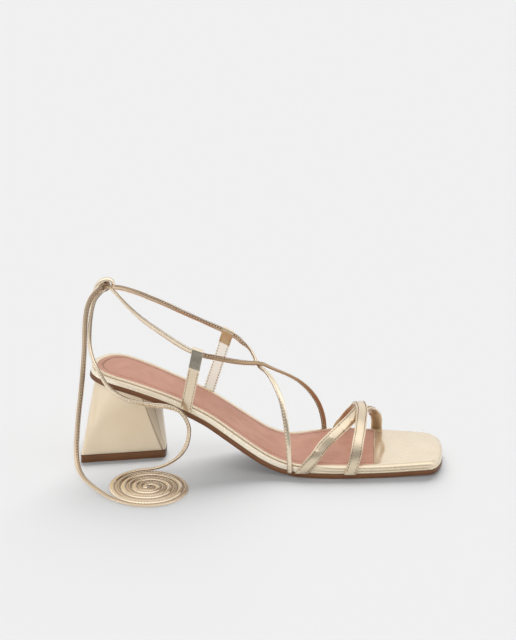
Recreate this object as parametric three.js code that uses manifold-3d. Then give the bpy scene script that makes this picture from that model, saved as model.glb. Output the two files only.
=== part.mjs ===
// A lace-up heeled sandal, right foot, in millimetres.
// +X points to the toe, +Y to the inner side of the foot, +Z up.
// The origin is the middle of the heel's bottom face, and the floor is at z = 0.
import * as THREE from 'three';
import { mergeVertices } from 'three/addons/utils/BufferGeometryUtils.js';
import Module from 'manifold-3d';

const wasm = await Module();
wasm.setup();

// Sizes of the sole.
const SOLE_LENGTH = 230;
const BALL_WIDTH = 78;
const BACK_OVERHANG = 23;
const SEAT_RISE = 55.4;
const TOE_SPRING = 1.2;
const PLATFORM_THICKNESS = 5.3;
const OUTSOLE_THICKNESS = 3;
const INSOLE_THICKNESS = 1.2;
const INSOLE_LENGTH = 186;
const RIM_WIDTH = 3.2;
const SEAT_ROUND = 23;
const TOE_ROUND_OUTER = 10;
const TOE_ROUND_INNER = 16;

// Sizes of the heel.
const HEEL_LENGTH = 54.5;
const HEEL_WIDTH = 45;
const LIFT_THICKNESS = 5;

// Sizes of the straps, the side tabs and the lace.
const STRAP_WIDTH = 7;
const STRAP_THICKNESS = 1.8;
const STRAP_ARCH = 28;
const TAB_WIDTH = 7;
const TAB_WALL = 1.3;
const LACE_WIDTH = 3.4;
const LACE_THICKNESS = 1.8;
const KNOT_HEIGHT = 114.3;
const KNOT_SIZE = 9.6;
const KNOT_ALONG = 0.047;

// Clearances.
const FIT = 0.3;
const LOOP_PLAY = 0.85;

const SOLE_THICKNESS = PLATFORM_THICKNESS + FIT + OUTSOLE_THICKNESS;
const HALF_BALL = BALL_WIDTH / 2;
const OUTER = -1;
const INNER = 1;

// The sole's sections. along: share of the sole's length from its back. outer, inner: half widths as
// shares of half the ball's width. rise: share of SEAT_RISE. spring: share of TOE_SPRING.
const SECTIONS = [
  { along: 0.0, outer: 0.66, inner: 0.64, rise: 1.0, spring: 0 },
  { along: 0.08, outer: 0.66, inner: 0.64, rise: 0.93, spring: 0 },
  { along: 0.165, outer: 0.67, inner: 0.6, rise: 0.826, spring: 0 },
  { along: 0.25, outer: 0.65, inner: 0.54, rise: 0.69, spring: 0 },
  { along: 0.34, outer: 0.66, inner: 0.555, rise: 0.51, spring: 0 },
  { along: 0.425, outer: 0.735, inner: 0.56, rise: 0.288, spring: 0 },
  { along: 0.47, outer: 0.8, inner: 0.54, rise: 0.172, spring: 0 },
  { along: 0.515, outer: 0.89, inner: 0.505, rise: 0.078, spring: 0 },
  { along: 0.56, outer: 0.97, inner: 0.54, rise: 0.02, spring: 0 },
  { along: 0.605, outer: 1.04, inner: 0.67, rise: 0, spring: 0 },
  { along: 0.65, outer: 1.07, inner: 0.8, rise: 0, spring: 0 },
  { along: 0.69, outer: 1.07, inner: 0.89, rise: 0, spring: 0 },
  { along: 0.735, outer: 1.05, inner: 0.93, rise: 0, spring: 0 },
  { along: 0.82, outer: 0.985, inner: 0.875, rise: 0, spring: 0.02 },
  { along: 0.9, outer: 0.9, inner: 0.785, rise: 0, spring: 0.35 },
  { along: 1.0, outer: 0.79, inner: 0.67, rise: 0, spring: 1 },
];

// The heel's plan at its top and at its foot, one row for each corner from the back to the front.
// Lengths are shares of HEEL_LENGTH from its middle, widths are shares of HEEL_WIDTH.
const HEEL_CORNERS = [
  { topAlong: -0.376, topAcross: 0.0, footAlong: -0.495, footAcross: 0.0 },
  { topAlong: -0.371, topAcross: 0.16, footAlong: -0.495, footAcross: 0.18 },
  { topAlong: -0.341, topAcross: 0.29, footAlong: -0.495, footAcross: 0.36 },
  { topAlong: -0.284, topAcross: 0.4, footAlong: -0.495, footAcross: 0.48 },
  { topAlong: -0.183, topAcross: 0.475, footAlong: -0.481, footAcross: 0.5 },
  { topAlong: -0.037, topAcross: 0.51, footAlong: -0.275, footAcross: 0.437 },
  { topAlong: 0.235, topAcross: 0.52, footAlong: 0.473, footAcross: 0.196 },
  { topAlong: 0.343, topAcross: 0.389, footAlong: 0.493, footAcross: 0.16 },
  { topAlong: 0.415, topAcross: 0.178, footAlong: 0.502, footAcross: 0.09 },
  { topAlong: 0.426, topAcross: 0.0, footAlong: 0.502, footAcross: 0.0 },
];

// The two toe straps. way: share of the way along the shoe from the outer foot of the strap to its
// inner foot. across: -1 at the outer foot, 1 at the inner one. up: share of STRAP_ARCH.
const FRONT_STRAP = {
  outerFoot: 0.739,
  innerFoot: 0.696,
  rows: [
    { way: 0.0, across: -1.0, up: -0.13 },
    { way: -0.27, across: -1.0, up: 0.075 },
    { way: -0.44, across: -0.95, up: 0.325 },
    { way: -0.55, across: -0.83, up: 0.564 },
    { way: -0.63, across: -0.71, up: 0.68 },
    { way: -0.7, across: -0.475, up: 0.868 },
    { way: -0.71, across: -0.19, up: 0.964 },
    { way: -0.55, across: 0.03, up: 0.986 },
    { way: -0.27, across: 0.27, up: 0.957 },
    { way: 0.0, across: 0.46, up: 0.868 },
    { way: 0.32, across: 0.65, up: 0.707 },
    { way: 0.62, across: 0.81, up: 0.482 },
    { way: 0.85, across: 0.935, up: 0.2 },
    { way: 0.97, across: 1.0, up: 0.0 },
    { way: 1.0, across: 1.0, up: -0.15 },
  ],
};
const BACK_STRAP = {
  outerFoot: 0.608,
  innerFoot: 0.813,
  rows: [
    { way: 0.0, across: -1.0, up: -0.15 },
    { way: 0.025, across: -1.0, up: 0.0 },
    { way: 0.163, across: -0.96, up: 0.19 },
    { way: 0.28, across: -0.835, up: 0.43 },
    { way: 0.396, across: -0.71, up: 0.59 },
    { way: 0.51, across: -0.565, up: 0.72 },
    { way: 0.631, across: -0.377, up: 0.838 },
    { way: 0.725, across: -0.19, up: 0.922 },
    { way: 0.788, across: 0.0, up: 0.938 },
    { way: 0.85, across: 0.165, up: 0.871 },
    { way: 0.9, across: 0.385, up: 0.735 },
    { way: 0.957, across: 0.66, up: 0.525 },
    { way: 0.996, across: 0.87, up: 0.29 },
    { way: 1.0, across: 1.0, up: 0.02 },
    { way: 1.0, across: 1.0, up: -0.15 },
  ],
};

// The tabs that hold the lace at both sides of the ankle. along: share of the sole's length from its
// back. topTilt, topTurn: slopes of the tab's top along the shoe, upwards and away from its middle.
const TAB_OUTER = {
  side: OUTER,
  along: 0.277,
  height: 41.7,
  leanIn: 5.4,
  leanForward: 8,
  topTilt: -0.38,
  topTurn: -0.14,
};
const TAB_INNER = {
  side: INNER,
  along: 0.328,
  height: 49.5,
  leanIn: 6.2,
  leanForward: 14.5,
  topTilt: -0.41,
  topTurn: -0.27,
};

// Where the lace's two strands start at the edge of the sole, as shares of the sole's length.
const ANCHOR_OUTER = 0.573;
const ANCHOR_INNER = 0.663;

// A lace strand from its anchor over the instep to the tab's loop on the other side.
// way: share of the way along the shoe from anchor to loop. across: share of the way from the
// anchor's side to the loop's side. up: share of the way up from the anchor to the loop.
const INNER_STRAND = [
  { way: 0.0, across: 0.0, up: 0.0 },
  { way: 0.0, across: 0.004, up: 0.055 },
  { way: 0.008, across: 0.02, up: 0.142 },
  { way: 0.032, across: 0.057, up: 0.257 },
  { way: 0.068, across: 0.106, up: 0.357 },
  { way: 0.123, across: 0.175, up: 0.46 },
  { way: 0.2, across: 0.27, up: 0.565 },
  { way: 0.277, across: 0.37, up: 0.643 },
  { way: 0.356, across: 0.465, up: 0.706 },
  { way: 0.434, across: 0.555, up: 0.762 },
  { way: 0.512, across: 0.636, up: 0.805 },
  { way: 0.59, across: 0.707, up: 0.839 },
  { way: 0.667, across: 0.779, up: 0.867 },
  { way: 0.745, across: 0.842, up: 0.895 },
  { way: 0.884, across: 0.944, up: 0.951 },
];
const OUTER_STRAND = [
  { way: 0.0, across: 0.0, up: 0.0 },
  { way: 0.009, across: 0.005, up: 0.09 },
  { way: 0.025, across: 0.031, up: 0.224 },
  { way: 0.058, across: 0.084, up: 0.363 },
  { way: 0.083, across: 0.127, up: 0.443 },
  { way: 0.113, across: 0.18, up: 0.521 },
  { way: 0.152, across: 0.241, up: 0.594 },
  { way: 0.215, across: 0.325, up: 0.662 },
  { way: 0.293, across: 0.424, up: 0.723 },
  { way: 0.379, across: 0.537, up: 0.762 },
  { way: 0.461, across: 0.642, up: 0.788 },
  { way: 0.536, across: 0.738, up: 0.82 },
  { way: 0.655, across: 0.848, up: 0.888 },
  { way: 0.797, across: 0.922, up: 0.945 },
];

// A lace strand from a tab's loop round the ankle to the knot. way and up: shares of the way from
// loop to knot. across: share of the loop's own distance from the middle.
const ANKLE_OUTER = [
  { way: 0.18, across: 1.032, up: 0.135 },
  { way: 0.286, across: 1.047, up: 0.245 },
  { way: 0.396, across: 1.048, up: 0.366 },
  { way: 0.507, across: 1.022, up: 0.482 },
  { way: 0.612, across: 0.955, up: 0.595 },
  { way: 0.722, across: 0.816, up: 0.723 },
  { way: 0.832, across: 0.574, up: 0.855 },
  { way: 0.92, across: 0.29, up: 0.95 },
  { way: 1.0, across: 0.0, up: 1.0 },
];
const ANKLE_INNER = [
  { way: 0.152, across: 1.135, up: 0.13 },
  { way: 0.236, across: 1.19, up: 0.2 },
  { way: 0.32, across: 1.223, up: 0.276 },
  { way: 0.404, across: 1.235, up: 0.357 },
  { way: 0.485, across: 1.223, up: 0.442 },
  { way: 0.57, across: 1.177, up: 0.53 },
  { way: 0.655, across: 1.085, up: 0.618 },
  { way: 0.734, across: 0.94, up: 0.71 },
  { way: 0.814, across: 0.714, up: 0.8 },
  { way: 0.89, across: 0.43, up: 0.885 },
  { way: 1.0, across: 0.0, up: 0.96 },
];

// The lace's two free ends, point by point from the knot to the coil on the floor.
const OUTER_END_ROUTE = [
  [-16.6, -3.6, 112.7],
  [-21.2, -5.2, 107.2],
  [-23.9, -6.2, 101],
  [-25.4, -8, 92],
  [-25.9, -10, 73],
  [-26.6, -12.5, 60],
  [-27.6, -16.5, 48],
  [-28.8, -23, 36],
  [-29.6, -30, 24.6],
  [-29.8, -38.5, 13],
  [-28.4, -47, 6.4],
  [-25, -55, 3.4],
  [-20.2, -63.5, 2.2],
  [-15.4, -71.2, 2],
  [-10.8, -77.9, 2],
  [-6.4, -83.9, 2],
  [-0.7, -89.3, 2],
  [6.2, -93.8, 2],
];
const INNER_END_ROUTE = [
  [-15.2, -1.9, 110.3],
  [-19, -4, 105.8],
  [-20.9, -5.4, 100.6],
  [-21.3, -7.6, 93],
  [-20.6, -10.6, 84],
  [-19, -15, 76.5],
  [-17.2, -20.6, 71],
  [-15.6, -25.6, 66.5],
  [-13, -30, 61.4],
  [-8.6, -33, 55.8],
  [-2.4, -35, 50.6],
  [4.6, -35.4, 47.4],
  [12.5, -35.2, 45.6],
  [21, -34.8, 44.8],
  [30, -34.8, 44.6],
  [36.4, -35.4, 42.8],
  [40.4, -36.4, 38.6],
  [42.6, -38.4, 32.6],
  [42.6, -41, 26.4],
  [40.8, -43.4, 20.4],
  [37.2, -44.6, 14.2],
  [32.6, -43.6, 8.4],
  [28.8, -41.4, 5],
];

// The coil that the two ends are wound into.
const COIL_LENGTH = 52.5;
const COIL_WIDTH = 61.5;
const COIL_EYE = 5;
const COIL_CENTRE_X = 20;
const COIL_CENTRE_Y = -66;
const COIL_HEIGHT = 3.4;

// Monotone cubic interpolation of one column of a table, with no overshoot.
function column(rows, name, key = 'along') {
  const slopes = rows.slice(1).map((row, i) => (row[name] - rows[i][name]) / (row[key] - rows[i][key]));
  const tangents = rows.map((row, i) => {
    const before = slopes[Math.max(i - 1, 0)];
    const after = slopes[Math.min(i, slopes.length - 1)];
    return before * after <= 0 ? 0 : (2 * before * after) / (before + after);
  });
  return (at) => {
    let i = 0;
    while (i < rows.length - 2 && at > rows[i + 1][key]) i += 1;
    const span = rows[i + 1][key] - rows[i][key];
    const u = THREE.MathUtils.clamp((at - rows[i][key]) / span, 0, 1);
    const rest = 1 - u;
    const start = rows[i][name] * (1 + 2 * u) * rest * rest + tangents[i] * span * u * rest * rest;
    const end = rows[i + 1][name] * (3 - 2 * u) * u * u - tangents[i + 1] * span * u * u * rest;
    return start + end;
  };
}

const outerShare = column(SECTIONS, 'outer');
const innerShare = column(SECTIONS, 'inner');
const riseShare = column(SECTIONS, 'rise');
const springShare = column(SECTIONS, 'spring');

const alongToX = (along) => along * SOLE_LENGTH - BACK_OVERHANG;
const xToAlong = (x) => THREE.MathUtils.clamp((x + BACK_OVERHANG) / SOLE_LENGTH, 0, 1);

// Height of the platform's top above the floor.
function topHeight(x) {
  const along = xToAlong(x);
  return SOLE_THICKNESS + riseShare(along) * SEAT_RISE + springShare(along) * TOE_SPRING;
}

function topSlope(x) {
  const step = 0.5;
  return (topHeight(x + step) - topHeight(x - step)) / (2 * step);
}

// Height of a layer that lies square to the platform's top, depth below it.
function layerHeight(x, depth) {
  return topHeight(x) - depth * Math.hypot(1, topSlope(x));
}

// Half the sole's width at a share of its length, away from its round ends.
function halfWidth(side, along) {
  const share = side === OUTER ? outerShare(along) : innerShare(along);
  return share * HALF_BALL;
}

// Steps round one side of the sole: the round of the seat, the long side and the round of the toe,
// and the long side where a straight front edge ends it.
const SEAT_STEPS = 9;
const SIDE_STEPS = 30;
const TOE_STEPS = 8;
const FRONTED_STEPS = 24;
const SEAT_POWER = 2.1;
const TOE_POWER = 2.5;

// One side's outline in plan. step runs from 0 at the middle of the back to the middle of the toe.
// Both rounds are quarters of a superellipse.
function planPoint(side, step) {
  const toeRound = side === OUTER ? TOE_ROUND_OUTER : TOE_ROUND_INNER;
  let along;
  let fullness = 1;
  if (step < SEAT_STEPS) {
    const turn = (step / SEAT_STEPS) * (Math.PI / 2);
    along = ((1 - Math.cos(turn) ** (2 / SEAT_POWER)) * SEAT_ROUND) / SOLE_LENGTH;
    fullness = Math.sin(turn) ** (2 / SEAT_POWER);
  } else if (step > SEAT_STEPS + SIDE_STEPS) {
    const turn = ((SEAT_STEPS + SIDE_STEPS + TOE_STEPS - step) / TOE_STEPS) * (Math.PI / 2);
    along = 1 - ((1 - Math.cos(turn) ** (2 / TOE_POWER)) * toeRound) / SOLE_LENGTH;
    fullness = Math.sin(turn) ** (2 / TOE_POWER);
  } else {
    const from = SEAT_ROUND / SOLE_LENGTH;
    const to = 1 - toeRound / SOLE_LENGTH;
    along = from + ((to - from) * (step - SEAT_STEPS)) / SIDE_STEPS;
  }
  return new THREE.Vector2(alongToX(along), side * halfWidth(side, along) * fullness);
}

// The same outline moved inwards, square to itself.
function insetPoint(side, step, inset) {
  const last = SEAT_STEPS + SIDE_STEPS + TOE_STEPS;
  const here = planPoint(side, step);
  if (step === 0) return new THREE.Vector2(here.x + inset, 0);
  if (step === last) return new THREE.Vector2(here.x - inset, 0);
  const ahead = planPoint(side, Math.min(step + 0.2, last));
  const behind = planPoint(side, Math.max(step - 0.2, 0));
  const run = ahead.sub(behind).normalize();
  return new THREE.Vector2(here.x + side * run.y * inset, here.y - side * run.x * inset);
}

// The steps of one side, up to the middle of the toe or to a straight front edge.
function stepsTo(side, frontX) {
  const last = SEAT_STEPS + SIDE_STEPS + TOE_STEPS;
  if (frontX === undefined) return Array.from({ length: last + 1 }, (_, i) => i);
  const toeRound = side === OUTER ? TOE_ROUND_OUTER : TOE_ROUND_INNER;
  const from = alongToX(0) + SEAT_ROUND;
  const to = alongToX(1) - toeRound;
  const front = SEAT_STEPS + (SIDE_STEPS * (frontX - from)) / (to - from);
  const count = SEAT_STEPS + FRONTED_STEPS;
  return Array.from({ length: count + 1 }, (_, i) =>
    i <= SEAT_STEPS ? i : SEAT_STEPS + ((front - SEAT_STEPS) * (i - SEAT_STEPS)) / (count - SEAT_STEPS),
  );
}

// A closed loop round the sole at one inset and one depth below the platform's top.
function soleRing(inset, depth, frontX) {
  const place = (side) => (step) => {
    const plan = insetPoint(side, step, inset);
    const slope = topSlope(plan.x);
    const length = Math.hypot(1, slope);
    return new THREE.Vector3(
      plan.x + (depth * slope) / length,
      plan.y,
      topHeight(plan.x) - depth / length,
    );
  };
  const outer = stepsTo(OUTER, frontX).map(place(OUTER));
  const inner = stepsTo(INNER, frontX).map(place(INNER));
  const back = frontX === undefined ? inner.slice(1, -1) : inner.slice(1);
  return outer.concat(back.reverse());
}

// A closed body from loops with the same number of points, the lowest first. Each end is closed by
// strips across the loop, from one side to the other.
function ringSolid(rings) {
  const count = rings[0].length;
  const position = rings.flat().flatMap((p) => [p.x, p.y, p.z]);
  const index = [];
  for (let r = 0; r < rings.length - 1; r += 1) {
    for (let i = 0; i < count; i += 1) {
      const a = r * count + i;
      const b = r * count + ((i + 1) % count);
      index.push(a, b, b + count, a, b + count, a + count);
    }
  }
  const top = (rings.length - 1) * count;
  const close = (a, b, c) => index.push(a, c, b, top + a, top + b, top + c);
  for (let low = 0; low + 1 <= count - low - 1; low += 1) {
    const next = low + 1;
    const acrossNext = count - next;
    if (next < acrossNext) close(low, next, acrossNext);
    if (low > 0) close(low, acrossNext, count - low);
  }
  const geometry = new THREE.BufferGeometry();
  geometry.setAttribute('position', new THREE.Float32BufferAttribute(position, 3));
  geometry.setIndex(index);
  return geometry;
}

// The rings of a flat band along a path, its wide face towards the given outward directions. taper
// gives the band's thickness at each point as a share of its full thickness.
const BAND_BEVEL = 0.3;
function bandRings(points, outward, width, thickness, taper = () => 1) {
  const half = width / 2;
  const edge = thickness * BAND_BEVEL;
  return points.map((point, i) => {
    const run = points[Math.min(i + 1, points.length - 1)]
      .clone()
      .sub(points[Math.max(i - 1, 0)])
      .normalize();
    const face = outward[i].clone().addScaledVector(run, -outward[i].dot(run)).normalize();
    const across = face.clone().cross(run);
    const deep = (thickness / 2) * taper(i / (points.length - 1));
    const corner = Math.min(edge, 2 * BAND_BEVEL * deep);
    const section = [
      [-half, -deep + corner],
      [-half + edge, -deep],
      [half - edge, -deep],
      [half, -deep + corner],
      [half, deep - corner],
      [half - edge, deep],
      [-half + edge, deep],
      [-half, deep - corner],
    ];
    return section.map(([u, v]) => point.clone().addScaledVector(across, u).addScaledVector(face, v));
  });
}

// A geometry as a solid that can be joined and cut.
function solidOf(geometry) {
  const bare = geometry.clone();
  bare.deleteAttribute('normal');
  bare.deleteAttribute('uv');
  const merged = mergeVertices(bare, 1e-4);
  return new wasm.Manifold(
    new wasm.Mesh({
      numProp: 3,
      vertProperties: new Float32Array(merged.attributes.position.array),
      triVerts: new Uint32Array(merged.index.array),
    }),
  );
}

function geometryOf(solid) {
  const mesh = solid.getMesh();
  const geometry = new THREE.BufferGeometry();
  geometry.setAttribute('position', new THREE.Float32BufferAttribute(mesh.vertProperties, 3));
  geometry.setIndex(Array.from(mesh.triVerts));
  return geometry;
}

// The middle line of the foot and the leg that the straps would hold, which their wide faces turn
// away from, from the leg down to the toes. height: share of KNOT_HEIGHT.
const FOOT_LINE = [
  { along: 0.13, height: 1.25 },
  { along: 0.17, height: 1 },
  { along: 0.26, height: 0.703 },
  { along: 0.4, height: 0.485 },
  { along: 0.55, height: 0.267 },
  { along: 0.75, height: 0.122 },
  { along: 0.95, height: 0.073 },
];
const FOOT_SAMPLES = new THREE.CatmullRomCurve3(
  FOOT_LINE.map(({ along, height }) => new THREE.Vector3(alongToX(along), 0, height * KNOT_HEIGHT)),
).getPoints(60);

function outwardFrom(point) {
  const nearest = FOOT_SAMPLES.reduce((best, sample) =>
    sample.distanceToSquared(point) < best.distanceToSquared(point) ? sample : best,
  );
  return point.clone().sub(nearest).normalize();
}

// Evenly spaced points of a smooth curve through the given ones.
function smoothPath(points, pieces) {
  return new THREE.CatmullRomCurve3(points, false, 'centripetal').getSpacedPoints(pieces);
}

// Skived ends: the band thins over its last stretch, where it lies on the platform's side.
const SKIVED = 0.6;
const SKIVED_STRETCH = 0.1;
function skive(t) {
  const fromEnd = Math.min(t, 1 - t);
  return THREE.MathUtils.mapLinear(Math.min(fromEnd, SKIVED_STRETCH), 0, SKIVED_STRETCH, SKIVED, 1);
}

// Distance from the middle of a band to the platform's side that it lies on.
const BAND_STANDOFF = FIT + STRAP_THICKNESS / 2;

// Height at which the straps and the lace end, at the bottom of the platform's side.
const BAND_FOOT = OUTSOLE_THICKNESS + 2 * FIT;

// The widest that the sole's side reaches under a band of some width. The side leans with the sole's
// slope, so a lower layer shows there what the top has a little further on.
function sideReach(side, x, width) {
  const shift = SOLE_THICKNESS * Math.abs(topSlope(x));
  const shares = [0, 0.25, 0.5, 0.75, 1];
  const places = shares.map((share) => x - width / 2 + share * (width + shift));
  return Math.max(...places.map((place) => halfWidth(side, xToAlong(place))));
}

const sideY = (side, x, width, standoff) => side * (sideReach(side, x, width) + standoff);

function outsole() {
  const bottom = SOLE_THICKNESS;
  const top = PLATFORM_THICKNESS + FIT;
  const edge = 0.7;
  return ringSolid([
    soleRing(edge, bottom),
    soleRing(0, bottom - edge),
    soleRing(0, top),
  ]);
}

// The platform's side in section, from its bottom up to its rolled rim, with the faint step under
// the rim. inset: mm inside the outline. depth: share of PLATFORM_THICKNESS below its top.
const PLATFORM_SIDE = [
  { inset: 0.5, depth: 1 },
  { inset: 0.2, depth: 0.83 },
  { inset: 0.2, depth: 0.47 },
  { inset: 0.0, depth: 0.28 },
  { inset: 0.35, depth: 0.11 },
  { inset: 1.3, depth: 0 },
];

function platform() {
  const body = ringSolid(
    PLATFORM_SIDE.map(({ inset, depth }) => soleRing(inset, depth * PLATFORM_THICKNESS)),
  );
  const above = -PLATFORM_THICKNESS;
  const pocket = ringSolid([
    soleRing(RIM_WIDTH - FIT, INSOLE_THICKNESS + FIT, alongToX(0) + INSOLE_LENGTH + FIT),
    soleRing(RIM_WIDTH - FIT, above, alongToX(0) + INSOLE_LENGTH + FIT),
  ]);
  return geometryOf(solidOf(body).subtract(solidOf(pocket)));
}

function insole() {
  const front = alongToX(0) + INSOLE_LENGTH;
  const edge = INSOLE_THICKNESS * 0.4;
  return ringSolid([
    soleRing(RIM_WIDTH, INSOLE_THICKNESS, front),
    soleRing(RIM_WIDTH, edge, front),
    soleRing(RIM_WIDTH + edge, 0, front),
  ]);
}

// One loop round the heel: share 0 is its foot on the lift and share 1 its top under the seat.
function heelRing(share, height) {
  const corner = (row, side) => {
    const x = THREE.MathUtils.lerp(row.footAlong, row.topAlong, share) * HEEL_LENGTH;
    const y = THREE.MathUtils.lerp(row.footAcross, row.topAcross, share) * HEEL_WIDTH * side;
    return new THREE.Vector3(x, y, height(x));
  };
  const outer = HEEL_CORNERS.map((row) => corner(row, OUTER));
  const inner = HEEL_CORNERS.slice(1, -1).map((row) => corner(row, INNER));
  return outer.concat(inner.reverse());
}

function heel() {
  const foot = LIFT_THICKNESS + FIT;
  const seat = (x) => layerHeight(x, SOLE_THICKNESS) - FIT;
  const shares = [0, 0.25, 0.5, 0.75, 1];
  return ringSolid(shares.map((share) => heelRing(share, (x) => foot + (seat(x) - foot) * share)));
}

function heelLift() {
  return ringSolid([heelRing(0, () => 0), heelRing(0, () => LIFT_THICKNESS)]);
}

// The middle line of a toe strap from one side of the platform over the toes to the other.
function strapPath({ outerFoot, innerFoot, rows }) {
  const from = alongToX(outerFoot);
  const to = alongToX(innerFoot);
  const base = SOLE_THICKNESS;
  const points = rows.map(({ way, across, up }) => {
    const x = THREE.MathUtils.lerp(from, to, way);
    const side = across < 0 ? OUTER : INNER;
    const y = Math.abs(across) * sideY(side, x, STRAP_WIDTH, BAND_STANDOFF);
    return new THREE.Vector3(x, y, base + up * STRAP_ARCH);
  });
  points[0].z = BAND_FOOT;
  points[points.length - 1].z = BAND_FOOT;
  return points;
}

// Near the sole, over this height, a strap's face turns until it lies along the platform's side.
const STRAP_TURN_HEIGHT = 8;
const STRAP_STEPS = 34;

function toeStrap(strap) {
  const path = smoothPath(strapPath(strap), STRAP_STEPS);
  const outward = path.map((point) => {
    const face = outwardFrom(point);
    const side = point.y < 0 ? OUTER : INNER;
    const high = THREE.MathUtils.clamp((point.z - SOLE_THICKNESS) / STRAP_TURN_HEIGHT, 0, 1);
    return new THREE.Vector3(0, side, 0).lerp(face, high).normalize();
  });
  return solidOf(ringSolid(bandRings(path, outward, STRAP_WIDTH, STRAP_THICKNESS, skive)));
}

function toeStraps() {
  return geometryOf(toeStrap(BACK_STRAP).add(toeStrap(FRONT_STRAP)));
}

// The hole of a tab's loop, which the lace goes through on edge.
const LOOP_HEIGHT = LACE_WIDTH + 2 * LOOP_PLAY;
const LOOP_DEPTH = LACE_THICKNESS + 2 * LOOP_PLAY;

// How far a tab leans in towards the ankle: not at all beside the platform, then ever more steeply.
const LEAN_START = PLATFORM_THICKNESS * 1.3;
const LEAN_POWER = 1.4;
function leanAt({ height, leanIn }, up) {
  return leanIn * (Math.max(up - LEAN_START, 0) / (height - LEAN_START)) ** LEAN_POWER;
}

// A point of a tab: inward from the platform's side, up from the tab's foot, and across its width.
function tabPoint(tab, inward, up, across) {
  const { side, along, height, leanForward, topTilt, topTurn } = tab;
  const footX = alongToX(along);
  const share = up / height;
  const slope = THREE.MathUtils.lerp(topSlope(footX), topTilt, share);
  const standoff = sideReach(side, footX, TAB_WIDTH) + FIT;
  return new THREE.Vector3(
    footX + across + leanForward * share,
    side * (standoff - inward + across * topTurn * share),
    layerHeight(footX, PLATFORM_THICKNESS) + FIT + up + across * slope,
  );
}

const loopUp = ({ height }) => height - TAB_WALL - LOOP_HEIGHT / 2;
const loopCentre = (tab, across = 0) => tabPoint(tab, leanAt(tab, loopUp(tab)), loopUp(tab), across);

// A tab: one strip from the outsole up the side of the platform, folded over at the top into a loop
// and stitched down on itself. Its side view, with the loop as a hole, is drawn upright, bent by the
// tab's lean and extruded by its width.
const TAB_CURVE_STEPS = 6;
function tabGeometry(tab) {
  const centre = loopUp(tab);
  const reach = LOOP_DEPTH / 2 + TAB_WALL;
  const neck = centre - LOOP_HEIGHT;
  const bulge = neck + LOOP_HEIGHT * 0.3;
  const foldEnd = centre - LOOP_HEIGHT * 2.8;
  const crown = tab.height - reach;
  const bends = [0, 0.3, 0.6].map((share) => THREE.MathUtils.lerp(LEAN_START, foldEnd, share));
  const upright = new THREE.Shape();
  upright.moveTo(-TAB_WALL, 0);
  upright.lineTo(0, 0);
  bends.forEach((up) => upright.lineTo(0, up));
  upright.lineTo(0, foldEnd);
  upright.lineTo(TAB_WALL, foldEnd + TAB_WALL);
  upright.lineTo(TAB_WALL, neck);
  upright.quadraticCurveTo(reach, bulge, reach, crown);
  upright.absarc(0, crown, reach, 0, Math.PI, false);
  upright.quadraticCurveTo(-reach, bulge, -TAB_WALL, neck);
  upright.lineTo(-TAB_WALL, foldEnd);
  bends.reverse().forEach((up) => upright.lineTo(-TAB_WALL, up));
  const hole = new THREE.Path();
  hole.absellipse(0, centre, LOOP_DEPTH / 2, LOOP_HEIGHT / 2, 0, Math.PI * 2, true);

  const bent = (path) =>
    path.getPoints(TAB_CURVE_STEPS).map(({ x, y }) => new THREE.Vector2(x + leanAt(tab, y), y));
  const profile = new THREE.Shape(bent(upright));
  profile.holes.push(new THREE.Path(bent(hole)));
  const geometry = new THREE.ExtrudeGeometry(profile, { depth: TAB_WIDTH, bevelEnabled: false });
  const place = geometry.attributes.position;
  for (let i = 0; i < place.count; i += 1) {
    const across = -tab.side * (place.getZ(i) - TAB_WIDTH / 2);
    const point = tabPoint(tab, place.getX(i), place.getY(i), across);
    place.setXYZ(i, point.x, point.y, point.z);
  }
  return geometry;
}

const KNOT_CENTRE = new THREE.Vector3(alongToX(KNOT_ALONG), 0, KNOT_HEIGHT);

// The lace's route over the instep, through the loop on the other side and round the ankle.
function strandPath(strand, ankle, side, anchorAlong, tab) {
  const anchorX = alongToX(anchorAlong);
  const standoff = FIT + LACE_THICKNESS / 2;
  const anchorY = sideY(side, anchorX, LACE_WIDTH, standoff);
  const anchor = new THREE.Vector3(anchorX, anchorY, BAND_FOOT);
  const loop = loopCentre(tab);
  const over = strand.map(({ way, across, up }) =>
    new THREE.Vector3(
      THREE.MathUtils.lerp(anchor.x, loop.x, way),
      THREE.MathUtils.lerp(anchor.y, loop.y, across),
      THREE.MathUtils.lerp(anchor.z, loop.z, up),
    ),
  );
  const round = ankle.map(({ way, across, up }) =>
    new THREE.Vector3(
      THREE.MathUtils.lerp(loop.x, KNOT_CENTRE.x, way),
      loop.y * across,
      THREE.MathUtils.lerp(loop.z, KNOT_CENTRE.z, up),
    ),
  );
  const mouth = TAB_WIDTH / 2 + LACE_THICKNESS;
  return over.concat(loopCentre(tab, mouth), loop, loopCentre(tab, -mouth), round);
}

// The strand's wide face turns away from the foot, and stands upright where it goes through a loop.
const LACE_STEPS = 64;
function laceStrand(points, loop) {
  const path = smoothPath(points, LACE_STEPS);
  const outward = path.map((point) => {
    const near = THREE.MathUtils.smoothstep(point.distanceTo(loop), LACE_WIDTH * 2, LACE_WIDTH * 6);
    return new THREE.Vector3(0, Math.sign(loop.y), 0).lerp(outwardFrom(point), near);
  });
  return solidOf(ringSolid(bandRings(path, outward, LACE_WIDTH, LACE_THICKNESS)));
}

function knotGeometry(grow) {
  const geometry = new THREE.SphereGeometry(KNOT_SIZE / 2 + grow, 16, 10);
  geometry.rotateX(Math.PI / 2);
  geometry.translate(KNOT_CENTRE.x, KNOT_CENTRE.y, KNOT_CENTRE.z);
  return geometry;
}

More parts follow.
